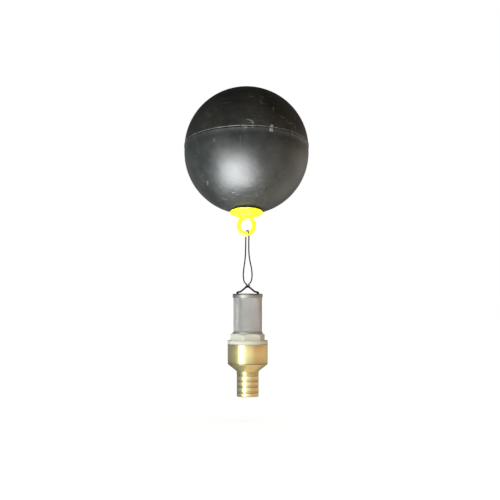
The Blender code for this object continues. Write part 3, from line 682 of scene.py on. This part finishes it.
# %% The weld bead
BEAD_HALF = 0.36 * MM
bead_r, bead_z = skin(SEAM)[0] + 0.02 * MM, SEAM + 0.12 * MM
bm = bmesh.new()
bmesh.ops.create_circle(bm, segments=8, radius=BEAD_HALF,
                        matrix=Matrix.Translation((bead_r, 0, bead_z)) @ Matrix.Rotation(pi / 2, 4, "X"))
bmesh.ops.spin(bm, geom=bm.verts[:] + bm.edges[:], cent=(0, 0, 0), axis=(0, 0, 1), angle=2 * pi,
               steps=2 * FACETS, use_merge=True)
for point in bm.verts:
    outward = Vector((point.co.x, point.co.y, 0)).normalized()
    swell = noise.noise(outward * 9) * 0.22 + noise.noise(outward * 40) * 0.12
    middle = outward * bead_r + Vector((0, 0, bead_z))
    wander = noise.noise(outward * 14 + Vector((5, 0, 0))) * 0.12 * MM
    point.co = middle + (point.co - middle) * (1 + swell) + Vector((0, 0, wander))
weld_plastic = float_plastic(
    "weld_black", dark=(0.035, 0.035, 0.033), light=(0.12, 0.118, 0.11), roughness=0.34, dust=0.4)
piece("float_weld", mesh_of(bm, "float_weld", leaned), "float", "float_black", weld_plastic,
      "float_weld_bead", sharp=60)

# %% [markdown]
# The mould's vent left a nub on the joint, with a small pip above it. Each is a little block with
# rounded edges, set on the joint and turned to face outwards.

# %% The moulding nub
NUB_AZIMUTH = radians(22.8)  # from the front towards +X
NUB_EDGE = 0.55 * MM
NUB_BLOCKS = (((4.6, 1.9, 4.4), (0, -0.2, -3.0)), ((3.2, 1.7, 3.6), (0.9, -0.2, 1.4)))  # size, centre, in mm
bm = bmesh.new()
for size, centre in NUB_BLOCKS:
    block = Matrix.Translation(Vector(centre) * MM) @ Matrix.Diagonal((*size, 1))
    made = bmesh.ops.create_cube(bm, size=MM, matrix=block)
    box_edges = list({e for v in made["verts"] for e in v.link_edges})
    bmesh.ops.bevel(bm, geom=box_edges, offset=NUB_EDGE, segments=4, profile=0.5, affect="EDGES", material=-1)
nub_place = leaned @ Matrix.Rotation(NUB_AZIMUTH, 4, "Z") @ Matrix.Translation((0, -FLOAT_R, SEAM))
piece("float_nub", mesh_of(bm, "float_nub", nub_place), "float", "float_black", weld_plastic, sharp=60)

# %% [markdown]
# Someone has dragged the ball along an edge, which raised one short pale scratch under the joint.

# %% The scratch
SCRATCH_TOP, SCRATCH_STEP, SCRATCH_STEPS = -6.5 * MM, 0.9 * MM, 9
SCRATCH_AZIMUTH, SCRATCH_WAVER, SCRATCH_HALF = radians(-5.5), 0.006, 0.34 * MM
scratch_line = []
for i in range(SCRATCH_STEPS):
    level = SCRATCH_TOP - i * SCRATCH_STEP
    reach = skin(level, -0.02 * MM)[0]
    turn = SCRATCH_AZIMUTH + SCRATCH_WAVER * sin(i * 1.9)
    scratch_line.append(leaned @ Vector((reach * sin(turn), -reach * cos(turn), level)))
piece("float_scratch", tubes("float_scratch", [scratch_line], SCRATCH_HALF), "float", "float_black",
      weld_plastic, sharp=60)

# %% [markdown]
# The eye is injection moulded in bright yellow. Its shapes flow into each other, so the disc, the web
# and the ring are put together as plain solids, turned into one skin by a voxel remesh and then smoothed,
# which leaves the soft fillets that a mould has.

# %% The eye's finish
eye_yellow, tree, shader, place = new_material(
    "eye_yellow", turn=(lean, 0, 0), Roughness=0.36, Specular_IOR_Level=0.5)
tone = use(tree, clouds, Vector=place, Scale=150.0, Colour_A=(0.95, 0.86, 0.008), Colour_B=(1.0, 0.93, 0.016))
marks = use(tree, scuffs, Vector=place, Scale=120.0, Amount=0.5)
scuffed = math_node(tree, "MULTIPLY", marks["Mask"], 0.25)
tree.links.new(mixed(tree, scuffed, tone["Colour"], (0.80, 0.74, 0.20)), shader.inputs["Base Color"])
# painted light: the yellow tone is also fed to the emission, so the eye glows brighter than the lamps make it
tree.links.new(tone["Colour"], shader.inputs["Emission Color"])
shader.inputs["Emission Strength"].default_value = 0.14  # painted light: the eye glows though it is no lamp
tree.links.new(spread(tree, tone["Mask"], 0.32, 0.42), shader.inputs["Roughness"])
bump(tree, shader, [(fine_noise(tree, place, 700.0), 0.0002, 0.12), (marks["Height"], 0.0002, 0.4)])

# %% The eye
DISC_R, DISC_RIM, DISC_DOME = 20.0 * MM, 1.2 * MM, 2.0 * MM
RING_DROP, RING_HALF = 17.15 * MM, (9.2 * MM, 10.3 * MM)
RING_BAR_R = 2.5 * MM
WEB_WIDTH, WEB_THICK, WEB_EDGE = 15.1 * MM, 4.8 * MM, 1.6 * MM
STUD_R, STUD_LENGTH = 4.7 * MM, 12.5 * MM
SEAL_GAP = 0.3 * MM  # the disc stands this far off the ball's lowest point
disc_face = -(FLOAT_R + BELT + SEAL_GAP)
ring_centre = disc_face - RING_DROP
bm = bmesh.new()
bmesh.ops.create_circle(bm, segments=28, radius=RING_BAR_R, matrix=Matrix.Translation((RING_HALF[0], 0, 0)))
bmesh.ops.spin(bm, geom=bm.verts[:] + bm.edges[:], cent=(0, 0, 0), axis=(0, 1, 0), angle=2 * pi, steps=72,
               use_merge=True)
bmesh.ops.scale(bm, vec=(1, 1, RING_HALF[1] / RING_HALF[0]), verts=bm.verts)
bmesh.ops.translate(bm, vec=(0, 0, ring_centre), verts=bm.verts)
web_top, web_foot = disc_face - DISC_RIM, ring_centre + RING_HALF[1] - 1.4 * MM
made = bmesh.ops.create_cube(bm, size=1.0, matrix=Matrix.Translation((0, 0, (web_top + web_foot) / 2))
                             @ Matrix.Diagonal((WEB_WIDTH, WEB_THICK, web_top - web_foot, 1)))
upright = {e for v in made["verts"] for e in v.link_edges if abs(e.verts[0].co.z - e.verts[1].co.z) > 1 * MM}
bmesh.ops.bevel(bm, geom=list(upright), offset=WEB_EDGE, segments=4, profile=0.5, affect="EDGES", material=-1)
rough_eye = mesh_of(bm, "eye_rough")
rim_level = disc_face - DISC_RIM
underside_angles = [radians(degrees) for degrees in range(90, -1, -6)]
underside = [(DISC_R * sin(a), rim_level - DISC_DOME * cos(a)) for a in underside_angles]
disc = turned("eye_disc", [
    (0, disc_face), (16.0 * MM, disc_face), (DISC_R - 0.9 * MM, disc_face + 0.7 * MM),
    (DISC_R - 0.2 * MM, disc_face + 0.6 * MM), (DISC_R, disc_face + 0.2 * MM), *underside,
], Matrix.Identity(4))
stud = turned("eye_stud", [(0, disc_face + STUD_LENGTH), (STUD_R, disc_face + STUD_LENGTH),
                           (STUD_R, rim_level), (0, rim_level)], Matrix.Identity(4), 48)
bm = bmesh.new()
for mesh in (rough_eye, disc, stud):
    bm.from_mesh(mesh)
solids = bpy.data.objects.new("eye_solids", mesh_of(bm, "eye_solids"))
bpy.context.scene.collection.objects.link(solids)
one_skin = solids.modifiers.new("one_skin", "REMESH")
one_skin.mode, one_skin.voxel_size, one_skin.use_smooth_shade = "VOXEL", 0.36 * MM, True
melt = solids.modifiers.new("melt", "SMOOTH")
melt.factor, melt.iterations = 0.5, 5
bpy.context.view_layer.update()
eye_mesh = bpy.data.meshes.new_from_object(solids.evaluated_get(bpy.context.evaluated_depsgraph_get()))
bpy.data.objects.remove(solids)
eye_mesh.transform(leaned)
piece("eye", eye_mesh, "float", "eye_yellow", eye_yellow, "float_eye", sharp=180)

# %% [markdown]
# The strainer's cage is woven from stainless wire, and round its top and foot it is held by pressed
# sheet bands. Wire is bright but brushed by the weaving, and painted shade darkens the sides of each
# wire, where its normal no longer points away from the strainer's axis.

# %% The strainer's finish
def steel(name, dark, light, roughness, side_shade=0.0):
    """Steel between two tones, with this much painted shade on what faces sideways."""
    material, tree, shader, place = new_material(name, centre=axis_point, Metallic=1.0)
    tone = use(tree, clouds, Vector=place, Scale=95.0, Colour_A=dark, Colour_B=light)
    marks = use(tree, scuffs, Vector=place, Scale=160.0, Amount=0.6)
    # painted shade: where a wire's normal faces sideways to the strainer's axis, its colour is mixed towards
    # near black (0.05, 0.05, 0.045)
    outward = node(tree, "ShaderNodeVectorMath", {0: place, 1: (1, 1, 0)}, operation="MULTIPLY").outputs[0]
    outward = node(tree, "ShaderNodeVectorMath", {0: outward}, operation="NORMALIZE").outputs[0]
    normal = node(tree, "ShaderNodeTexCoord").outputs["Normal"]
    facing = node(tree, "ShaderNodeVectorMath", {0: outward, 1: normal}, operation="DOT_PRODUCT")
    sideways = math_node(tree, "SUBTRACT", 1.0, math_node(tree, "ABSOLUTE", facing.outputs["Value"]))
    dust_and_shade = math_node(tree, "MULTIPLY", math_node(tree, "POWER", sideways, 1.5), side_shade)
    tree.links.new(mixed(tree, dust_and_shade, tone["Colour"], (0.05, 0.05, 0.045)), shader.inputs["Base Color"])
    tree.links.new(math_node(tree, "ADD", spread(tree, tone["Mask"], roughness, roughness + 0.1),
                             math_node(tree, "MULTIPLY", marks["Mask"], 0.15)), shader.inputs["Roughness"])
    bump(tree, shader, [(fine_noise(tree, place, 1500.0), 0.0001, 0.15), (marks["Height"], 0.0001, 0.4)])
    return material


wire_steel = steel("wire_steel", (0.88, 0.885, 0.89), (0.96, 0.965, 0.97), 0.36, side_shade=0.5)
sheet_steel = steel("sheet_steel", (0.50, 0.51, 0.51), (0.60, 0.61, 0.61), 0.46)

# %% [markdown]
# A plain weave is two sets of wires that pass over and under each other in turn. One wire is made by
# taking a small ring of points through a row of places and extruding at each, and the rest are copies.
# The sheet is rolled up with its end lapping over its start, so its radius steps out a little there.

# %% A woven wire
WIRE_R = 0.165 * MM
PITCH = 0.85 * MM
WIRE_SIDES = 5


def wire(name, places):
    """One wire through a list of matrices, each of which puts the wire's round section in place."""
    bm = bmesh.new()
    bmesh.ops.create_circle(bm, cap_ends=True, segments=WIRE_SIDES, radius=WIRE_R, matrix=places[0])
    ring = bm.edges[:]
    for before, after in zip(places, places[1:]):
        grown = bmesh.ops.extrude_edge_only(bm, edges=ring)["geom"]
        points = {g for g in grown if isinstance(g, bmesh.types.BMVert)}
        ring = [g for g in grown if isinstance(g, bmesh.types.BMEdge) and points.issuperset(g.verts)]
        bmesh.ops.transform(bm, matrix=after @ before.inverted(), verts=list(points))
    bmesh.ops.contextual_create(bm, geom=ring)
    return mesh_of(bm, name)


def wave(step):
    """Over, level, under, level: where a wire lies at each half pitch, in wire radii."""
    return (1, 0, -1, 0)[step % 4]


def copies(mesh, places):
    """One mesh that holds a copy of this one at each place."""
    bm = bmesh.new()
    bm.from_mesh(mesh)
    points = bm.verts[:]
    first = points + bm.edges[:] + bm.faces[:]
    for matrix in places[1:]:
        made = bmesh.ops.duplicate(bm, geom=first)["geom"]
        bmesh.ops.transform(bm, matrix=matrix, verts=[g for g in made if isinstance(g, bmesh.types.BMVert)])
    bmesh.ops.transform(bm, matrix=places[0], verts=points)
    return mesh_from(bm, mesh.name)


def joined(name, meshes):
    bm = bmesh.new()
    for mesh in meshes:
        bm.from_mesh(mesh)
    return mesh_from(bm, name)


# %% The rolled sleeve
low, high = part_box("strainer_mesh")
SLEEVE_R = (high.x - low.x) / 2 - 2 * WIRE_R
LAP_START, LAP, LAP_RISE = radians(-40), radians(17), 0.30 * MM
count = round((2 * pi + LAP) * SLEEVE_R / PITCH)
count += count % 2
turn_step = (2 * pi + LAP) / count
rows = int((high.z - low.z - WIRE_R) / PITCH)


def sheet_radius(turned_by):
    """The rolled sheet's radius: inside where it starts, outside where it ends."""
    def eased(value):
        value = min(max(value, 0), 1)
        return value * value * (3 - 2 * value)
    return SLEEVE_R + LAP_RISE * (eased((turned_by - 2 * pi) / LAP + 1.3) - eased(1.3 - turned_by / LAP))


def on_sleeve(i, lift=0.0, z=0.0):
    """The place on the sheet, i upright steps round it, outwards by the lift."""
    turned_by = i * turn_step
    return (plumb @ Matrix.Rotation(LAP_START + turned_by, 4, "Z")
            @ Matrix.Translation((0, -(sheet_radius(turned_by) + lift), z)))


uprights = []
for odd in (0, 1):
    base = wire(f"upright_{odd}", [
        Matrix.Translation((0, -WIRE_R * wave(step + 2 * odd), low.z + step * PITCH / 2))
        for step in range(2 * rows + 1)])
    uprights.append(copies(base, [on_sleeve(i) for i in range(odd, count + 1, 2)]))
piece("sleeve_uprights", joined("sleeve_uprights", uprights), "valve", "strainer_steel", wire_steel,
      sharp=180)
hoops = []
for odd in (0, 1):
    base = wire(f"hoop_{odd}", [
        on_sleeve(step / 2, WIRE_R * wave(step + 2 + 2 * odd), low.z) @ Matrix.Rotation(pi / 2, 4, "Y")
        for step in range(2 * count + 1)])
    hoops.append(copies(base, [Matrix.Translation((0, 0, j * PITCH)) for j in range(odd, rows + 1, 2)]))
sleeve = piece("sleeve_hoops", joined("sleeve_hoops", hoops), "valve", "strainer_steel", wire_steel,
               sharp=180)
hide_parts("strainer_mesh")
print(count, "uprights and", rows, "hoops")

# %% [markdown]
# The cage's top is a disc of the same cloth, held under a pressed cap ring. Its wires are straight, and
# each is as long as the circle lets it be.

# %% The woven disc
low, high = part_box("strainer_end_mesh")
DISC_CLOTH_R = (high.x - low.x) / 2
disc_level = (high.z + low.z) / 2
halfway = int(DISC_CLOTH_R / PITCH)
straight = []
for turn, offset in ((0, 0), (pi / 2, 2)):
    for k in range(-halfway, halfway + 1):
        reach = int(math.sqrt(max(DISC_CLOTH_R**2 - (k * PITCH) ** 2, 0)) / PITCH)
        if reach:
            row = plumb @ Matrix.Rotation(turn, 4, "Z") @ Matrix.Translation((0, k * PITCH, disc_level))
            straight.append(wire("straight", [
                row @ Matrix.Translation((step * PITCH / 2, 0, WIRE_R * wave(step + 2 * k + offset)))
                @ Matrix.Rotation(pi / 2, 4, "Y") for step in range(-2 * reach, 2 * reach + 1)]))
piece("end_weave", joined("end_weave", straight), "valve", "strainer_steel", wire_steel,
      "strainer_end_mesh", sharp=180)

# %% [markdown]
# The cap ring is pressed from thin sheet with a rolled outer edge, and a narrow band clamps the
# sleeve's foot in the collar.

# %% The cap ring and the foot band
low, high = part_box("strainer_rim")
RIM_R, rim_top = (high.x - low.x) / 2, high.z
SHEET = 0.4 * MM
RIM_WIDTH = 3.0 * MM
rim = [
    (RIM_R - RIM_WIDTH, rim_top - SHEET), (RIM_R - 1.0 * MM, rim_top - SHEET),
    (RIM_R - SHEET, rim_top - 1.0 * MM), (RIM_R - SHEET, low.z), (RIM_R, low.z),
    (RIM_R, rim_top - 0.75 * MM), (RIM_R - 0.22 * MM, rim_top - 0.24 * MM), (RIM_R - 0.75 * MM, rim_top),
    (RIM_R - RIM_WIDTH, rim_top),
]
piece("cap_ring", turned("cap_ring", rim, plumb, edge=0.1 * MM), "valve", "strainer_steel", sheet_steel,
      "strainer_rim")
low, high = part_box("strainer_foot_band")
BAND_R = (high.x - low.x) / 2
band_top = high.z - 0.9 * MM  # it shows only a thin edge over the collar
band = [(BAND_R - SHEET, low.z), (BAND_R, low.z), (BAND_R, band_top - 0.3 * MM),
        (BAND_R - 0.15 * MM, band_top), (BAND_R - SHEET, band_top)]
piece("foot_band", turned("foot_band", band, plumb, edge=0.06 * MM), "valve", "strainer_steel", sheet_steel,
      "strainer_foot_band")

# %% [markdown]
# The collar is turned and milled from off-white nylon: a round bar with a hexagon for a spanner, whose
# corners are chamfered by a cone. On a screen it goes the other way about: a round shape is turned with
# many rows of points, and each point that lies outside the hexagon is drawn in to it.

# %% The collar's finish
nylon, tree, shader, place = new_material("collar_nylon", centre=axis_point, Specular_IOR_Level=0.4)
tone = use(tree, clouds, Vector=place, Scale=80.0, Colour_A=(0.86, 0.86, 0.75), Colour_B=(0.93, 0.935, 0.85))
turning = use(tree, rings, Vector=place, Scale=1100.0)
marks = use(tree, scuffs, Vector=place, Scale=110.0, Amount=0.6)
scuffed = math_node(tree, "MULTIPLY", marks["Mask"], 0.3)
tree.links.new(mixed(tree, scuffed, tone["Colour"], (0.45, 0.44, 0.34)), shader.inputs["Base Color"])
tree.links.new(spread(tree, tone["Mask"], 0.40, 0.52), shader.inputs["Roughness"])
shader.inputs["Subsurface Weight"].default_value = 0.12
shader.inputs["Subsurface Radius"].default_value = (0.0012, 0.001, 0.0006)
bump(tree, shader, [(turning["Height"], 0.0001, 0.25), (marks["Height"], 0.0002, 0.4)])

# %% The collar
low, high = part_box("strainer_collar")
COLLAR_R = (high.x - low.x) / 2
collar_top, collar_foot = high.z, low.z
FLAT = 18.75 * MM  # from the axis to a flat
CORNER = 2.2 * MM  # radius of the hexagon's corners
HEX_HIGH, FLANGE_HIGH = 8.5 * MM, 4.2 * MM
BORE_R, SOCKET_R, SOCKET_DEEP = 13.5 * MM, 17.8 * MM, 5.0 * MM
SPIGOT_R = 19.5 * MM
HEX_TURN = radians(-15)  # a corner, from the front towards -X
CONE_STEP, SIDE_STEP = 0.36 * MM, 0.9 * MM  # between the rows of points on the chamfer and the sides
ROUNDING = 0.45 * MM
flange_top = collar_top - HEX_HIGH
flange_foot = flange_top - FLANGE_HIGH


def hexagon_radius(angle):
    """How far the hexagon reaches at an angle from one of its corners, its corners being round."""
    from_corner = abs((angle + pi / 6) % (pi / 3) - pi / 6)
    from_flat = pi / 6 - from_corner
    if math.tan(from_flat) * FLAT < (FLAT - CORNER) * math.tan(pi / 6):
        return FLAT / cos(from_flat)
    reach = (FLAT - CORNER) / cos(pi / 6)
    return reach * cos(from_corner) + math.sqrt(CORNER**2 - (reach * sin(from_corner)) ** 2)


beyond = FLAT + 4.0 * MM  # past every corner
fall = math.tan(radians(30))
slope = [(FLAT - 0.4 * MM + i * CONE_STEP, collar_top - i * CONE_STEP * fall) for i in range(12)]
sides = [(beyond, collar_top - 2.4 * MM - i * SIDE_STEP) for i in range(6)]
outline = [(SOCKET_R, collar_top), *slope, *sides, (beyond, flange_top), (COLLAR_R, flange_top),
           (COLLAR_R, flange_foot), (SPIGOT_R, flange_foot), (SPIGOT_R, collar_foot), (BORE_R, collar_foot),
           (BORE_R, collar_top - SOCKET_DEEP), (SOCKET_R, collar_top - SOCKET_DEEP)]
bm = bmesh.new()
points = [bm.verts.new((r, 0, z)) for r, z in outline]
bmesh.ops.spin(bm, geom=points + [bm.edges.new(pair) for pair in zip(points, points[1:] + points[:1])],
               cent=(0, 0, 0), axis=(0, 0, 1), angle=2 * pi, steps=240, use_merge=True)
for point in bm.verts:
    reach = math.hypot(point.co.x, point.co.y)
    if point.co.z > flange_top - 1e-6 and reach < COLLAR_R - 1e-6:
        allowed = hexagon_radius(math.atan2(point.co.x, -point.co.y) - HEX_TURN)
        if reach > allowed:
            point.co.x *= allowed / reach
            point.co.y *= allowed / reach
bmesh.ops.remove_doubles(bm, verts=bm.verts, dist=1e-6)
bmesh.ops.recalc_face_normals(bm, faces=bm.faces)
round_edges = [e for e in bm.edges if e.is_manifold and e.calc_face_angle() > radians(50)
               and min(v.co.xy.length for v in e.verts) > SPIGOT_R + 1 * MM]
bmesh.ops.bevel(bm, geom=round_edges, offset=ROUNDING, segments=3, profile=0.5, affect="EDGES", material=-1,
                clamp_overlap=True)
piece("collar", mesh_of(bm, "collar", plumb), "valve", "collar_nylon", nylon, "strainer_collar", sharp=40)

# %% [markdown]
# A thin black gasket seals the collar on the valve. It is squeezed, so its outer edge bulges.

# %% The gasket and the rubber
rubber, tree, shader, place = new_material("seal_rubber", centre=axis_point, Specular_IOR_Level=0.35)
tone = use(tree, clouds, Vector=place, Scale=300.0, Colour_A=(0.012, 0.012, 0.012),
           Colour_B=(0.03, 0.03, 0.028))
tree.links.new(tone["Colour"], shader.inputs["Base Color"])
tree.links.new(spread(tree, tone["Mask"], 0.5, 0.7), shader.inputs["Roughness"])
bump(tree, shader, [(fine_noise(tree, place, 2200.0), 0.0001, 0.3)])
low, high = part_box("collar_gasket")
GASKET_R = (high.x - low.x) / 2
inside = SPIGOT_R + 0.3 * MM
middle, half = (low.z + high.z) / 2, (high.z - low.z) / 2
gasket = [(inside, low.z), *arc((GASKET_R - half, middle), half, -90, 90, 8), (inside, high.z)]
piece("gasket", turned("gasket", gasket, plumb), "valve", "seal_rubber", rubber, "collar_gasket")

# %% [markdown]
# The valve's body and its hose tail are turned from brass bar. Fresh brass is a warm yellow mirror,
# softened by the tool's rings. Handling leaves it a little redder and duller in clouds, and metal colour
# goes on Base Color with Metallic at one.

# %% The brass
def brass(name, dark, light, roughness):
    material, tree, shader, place = new_material(name, centre=axis_point, Metallic=1.0)
    tone = use(tree, clouds, Vector=place, Scale=70.0, Colour_A=dark, Colour_B=light)
    turning = use(tree, rings, Vector=place, Scale=1500.0)
    marks = use(tree, scuffs, Vector=place, Scale=130.0, Amount=0.8)
    ringed = mixed(tree, math_node(tree, "MULTIPLY", turning["Mask"], 0.25), tone["Colour"], light)
    tree.links.new(mixed(tree, math_node(tree, "MULTIPLY", marks["Mask"], 0.4), ringed, (0.50, 0.33, 0.13)),
                   shader.inputs["Base Color"])
    rough = spread(tree, turning["Mask"], roughness, roughness + 0.08)
    tree.links.new(math_node(tree, "ADD", rough, math_node(tree, "MULTIPLY", marks["Mask"], 0.15)),
                   shader.inputs["Roughness"])
    bump(tree, shader, [(turning["Height"], 0.00004, 0.06), (marks["Height"], 0.0001, 0.15)])
    return material


body_brass = brass("body_brass", (0.88, 0.75, 0.39), (0.93, 0.82, 0.47), 0.27)
tail_brass = brass("tail_brass", (0.89, 0.77, 0.40), (0.95, 0.84, 0.49), 0.29)

# %% The valve body
low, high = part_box("valve_body")
BODY_R = (high.x - low.x) / 2
SEAT_R, SEAT_LEVEL, SEAT_THICK = 10.0 * MM, collar_foot - 0.8 * MM, 2.5 * MM
LOWER_BORE_R = 20.3 * MM
lip_top = flange_foot - 0.2 * MM  # the body's lip stands round the gasket
body = [(BODY_R, low.z), (BODY_R, lip_top), (GASKET_R + 0.1 * MM, lip_top), (GASKET_R + 0.1 * MM, high.z),
        (inside, high.z), (inside, SEAT_LEVEL), (SEAT_R, SEAT_LEVEL), (SEAT_R, SEAT_LEVEL - SEAT_THICK),
        (LOWER_BORE_R, SEAT_LEVEL - SEAT_THICK), (LOWER_BORE_R, low.z)]
body_mesh = turned("body_turned", body, plumb, FACETS, edge=0.4 * MM, segments=3)
piece("body_turned", body_mesh, "valve", "valve_brass", body_brass, "valve_body")

# %% [markdown]
# The tail screws into the body from below, tapers to the hose's size, and has shallow rings that grip
# the hose. Each ring is a slow rise and a quick fall, so a hose slides on and doesn't slide off.

# %% The hose tail
low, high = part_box("hose_tail")
tail_top, tail_end = high.z, low.z
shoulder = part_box("valve_body")[0].z - 0.3 * MM
TAIL_R, TAIL_SPIGOT_R, MOUTH_R, TAIL_BORE_R = 13.3 * MM, 20.0 * MM, 16.5 * MM, 10.1 * MM
CONE_HIGH = 9.3 * MM
cone_foot = shoulder - CONE_HIGH
GROOVE_DEEP, GROOVE_PITCH, FIRST_GROOVE, GROOVES = 0.38 * MM, 6.82 * MM, 5.3 * MM, 4
NOSE = 1.2 * MM
tail = [(TAIL_SPIGOT_R, tail_top), (TAIL_SPIGOT_R, shoulder), (BODY_R - 0.25 * MM, shoulder),
        (BODY_R, shoulder - 0.22 * MM), (BODY_R, shoulder - 0.6 * MM),
        (BODY_R - 0.5 * MM, shoulder - 1.15 * MM), (TAIL_R + 0.9 * MM, cone_foot + 0.55 * MM),
        (TAIL_R + 0.3 * MM, cone_foot)]
for i in range(GROOVES):
    valley = cone_foot - FIRST_GROOVE - i * GROOVE_PITCH
    tail += [(TAIL_R, valley + 1.1 * MM), (TAIL_R - 0.18 * MM, valley + 0.5 * MM),
             (TAIL_R - GROOVE_DEEP, valley + 0.15 * MM), (TAIL_R - GROOVE_DEEP, valley - 0.15 * MM),
             (TAIL_R - 0.08 * MM, valley - 0.45 * MM), (TAIL_R, valley - 0.6 * MM)]
tail += arc((TAIL_R - NOSE, tail_end + NOSE), NOSE, 0, -90, 8)
guide_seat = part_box("poppet_guide")[0].z - 0.3 * MM
tail += [(TAIL_BORE_R, tail_end), (TAIL_BORE_R, cone_foot), (MOUTH_R - 1.45 * MM, guide_seat),
         (MOUTH_R, guide_seat), (MOUTH_R, tail_top)]
piece("tail_turned", turned("tail_turned", tail, plumb, FACETS, edge=0.12 * MM), "valve", "valve_brass",
      tail_brass, "hose_tail")

# %% [markdown]
# Inside, a spring holds the poppet against its seat, and in the real valve it shortens as the poppet
# comes down on it. The spring shows up the tail's bore, so it is wound again in round wire. The other
# inner pieces keep the imported shapes and take the finishes made above.

# %% The spring
low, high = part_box("poppet_spring")
SPRING_WIRE = 0.45 * MM
coil_r = (high.x - low.x) / 2 - SPRING_WIRE
foot, head = low.z + SPRING_WIRE, high.z - SPRING_WIRE
COILS, PER_COIL = 4.5, 36
steps = round(COILS * PER_COIL)
coil = []
for i in range(steps + 1):
    turn = 2 * pi * i / PER_COIL
    coil.append(plumb @ Vector((coil_r * cos(turn), coil_r * sin(turn), foot + (head - foot) * i / steps)))
spring_steel = steel("spring_steel", (0.52, 0.52, 0.50), (0.66, 0.66, 0.63), 0.22)
spring = piece("spring_wound", tubes("spring_wound", [coil], SPRING_WIRE, 2), "valve", "strainer_steel",
               spring_steel, "poppet_spring", sharp=60)
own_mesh(spring)

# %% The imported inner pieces
for name, material in {
    "eye_seal_ring": rubber, "tail_seal": rubber, "poppet_seal": rubber, "cord_end_left": cord_black,
    "cord_end_right": cord_black, "poppet": nylon, "seal_nut": body_brass, "poppet_guide": tail_brass,
}.items():
    inner = frame["nodes"][name]
    inner.data.materials.clear()
    inner.data.materials.append(material)
    print(name, "takes", material.name)
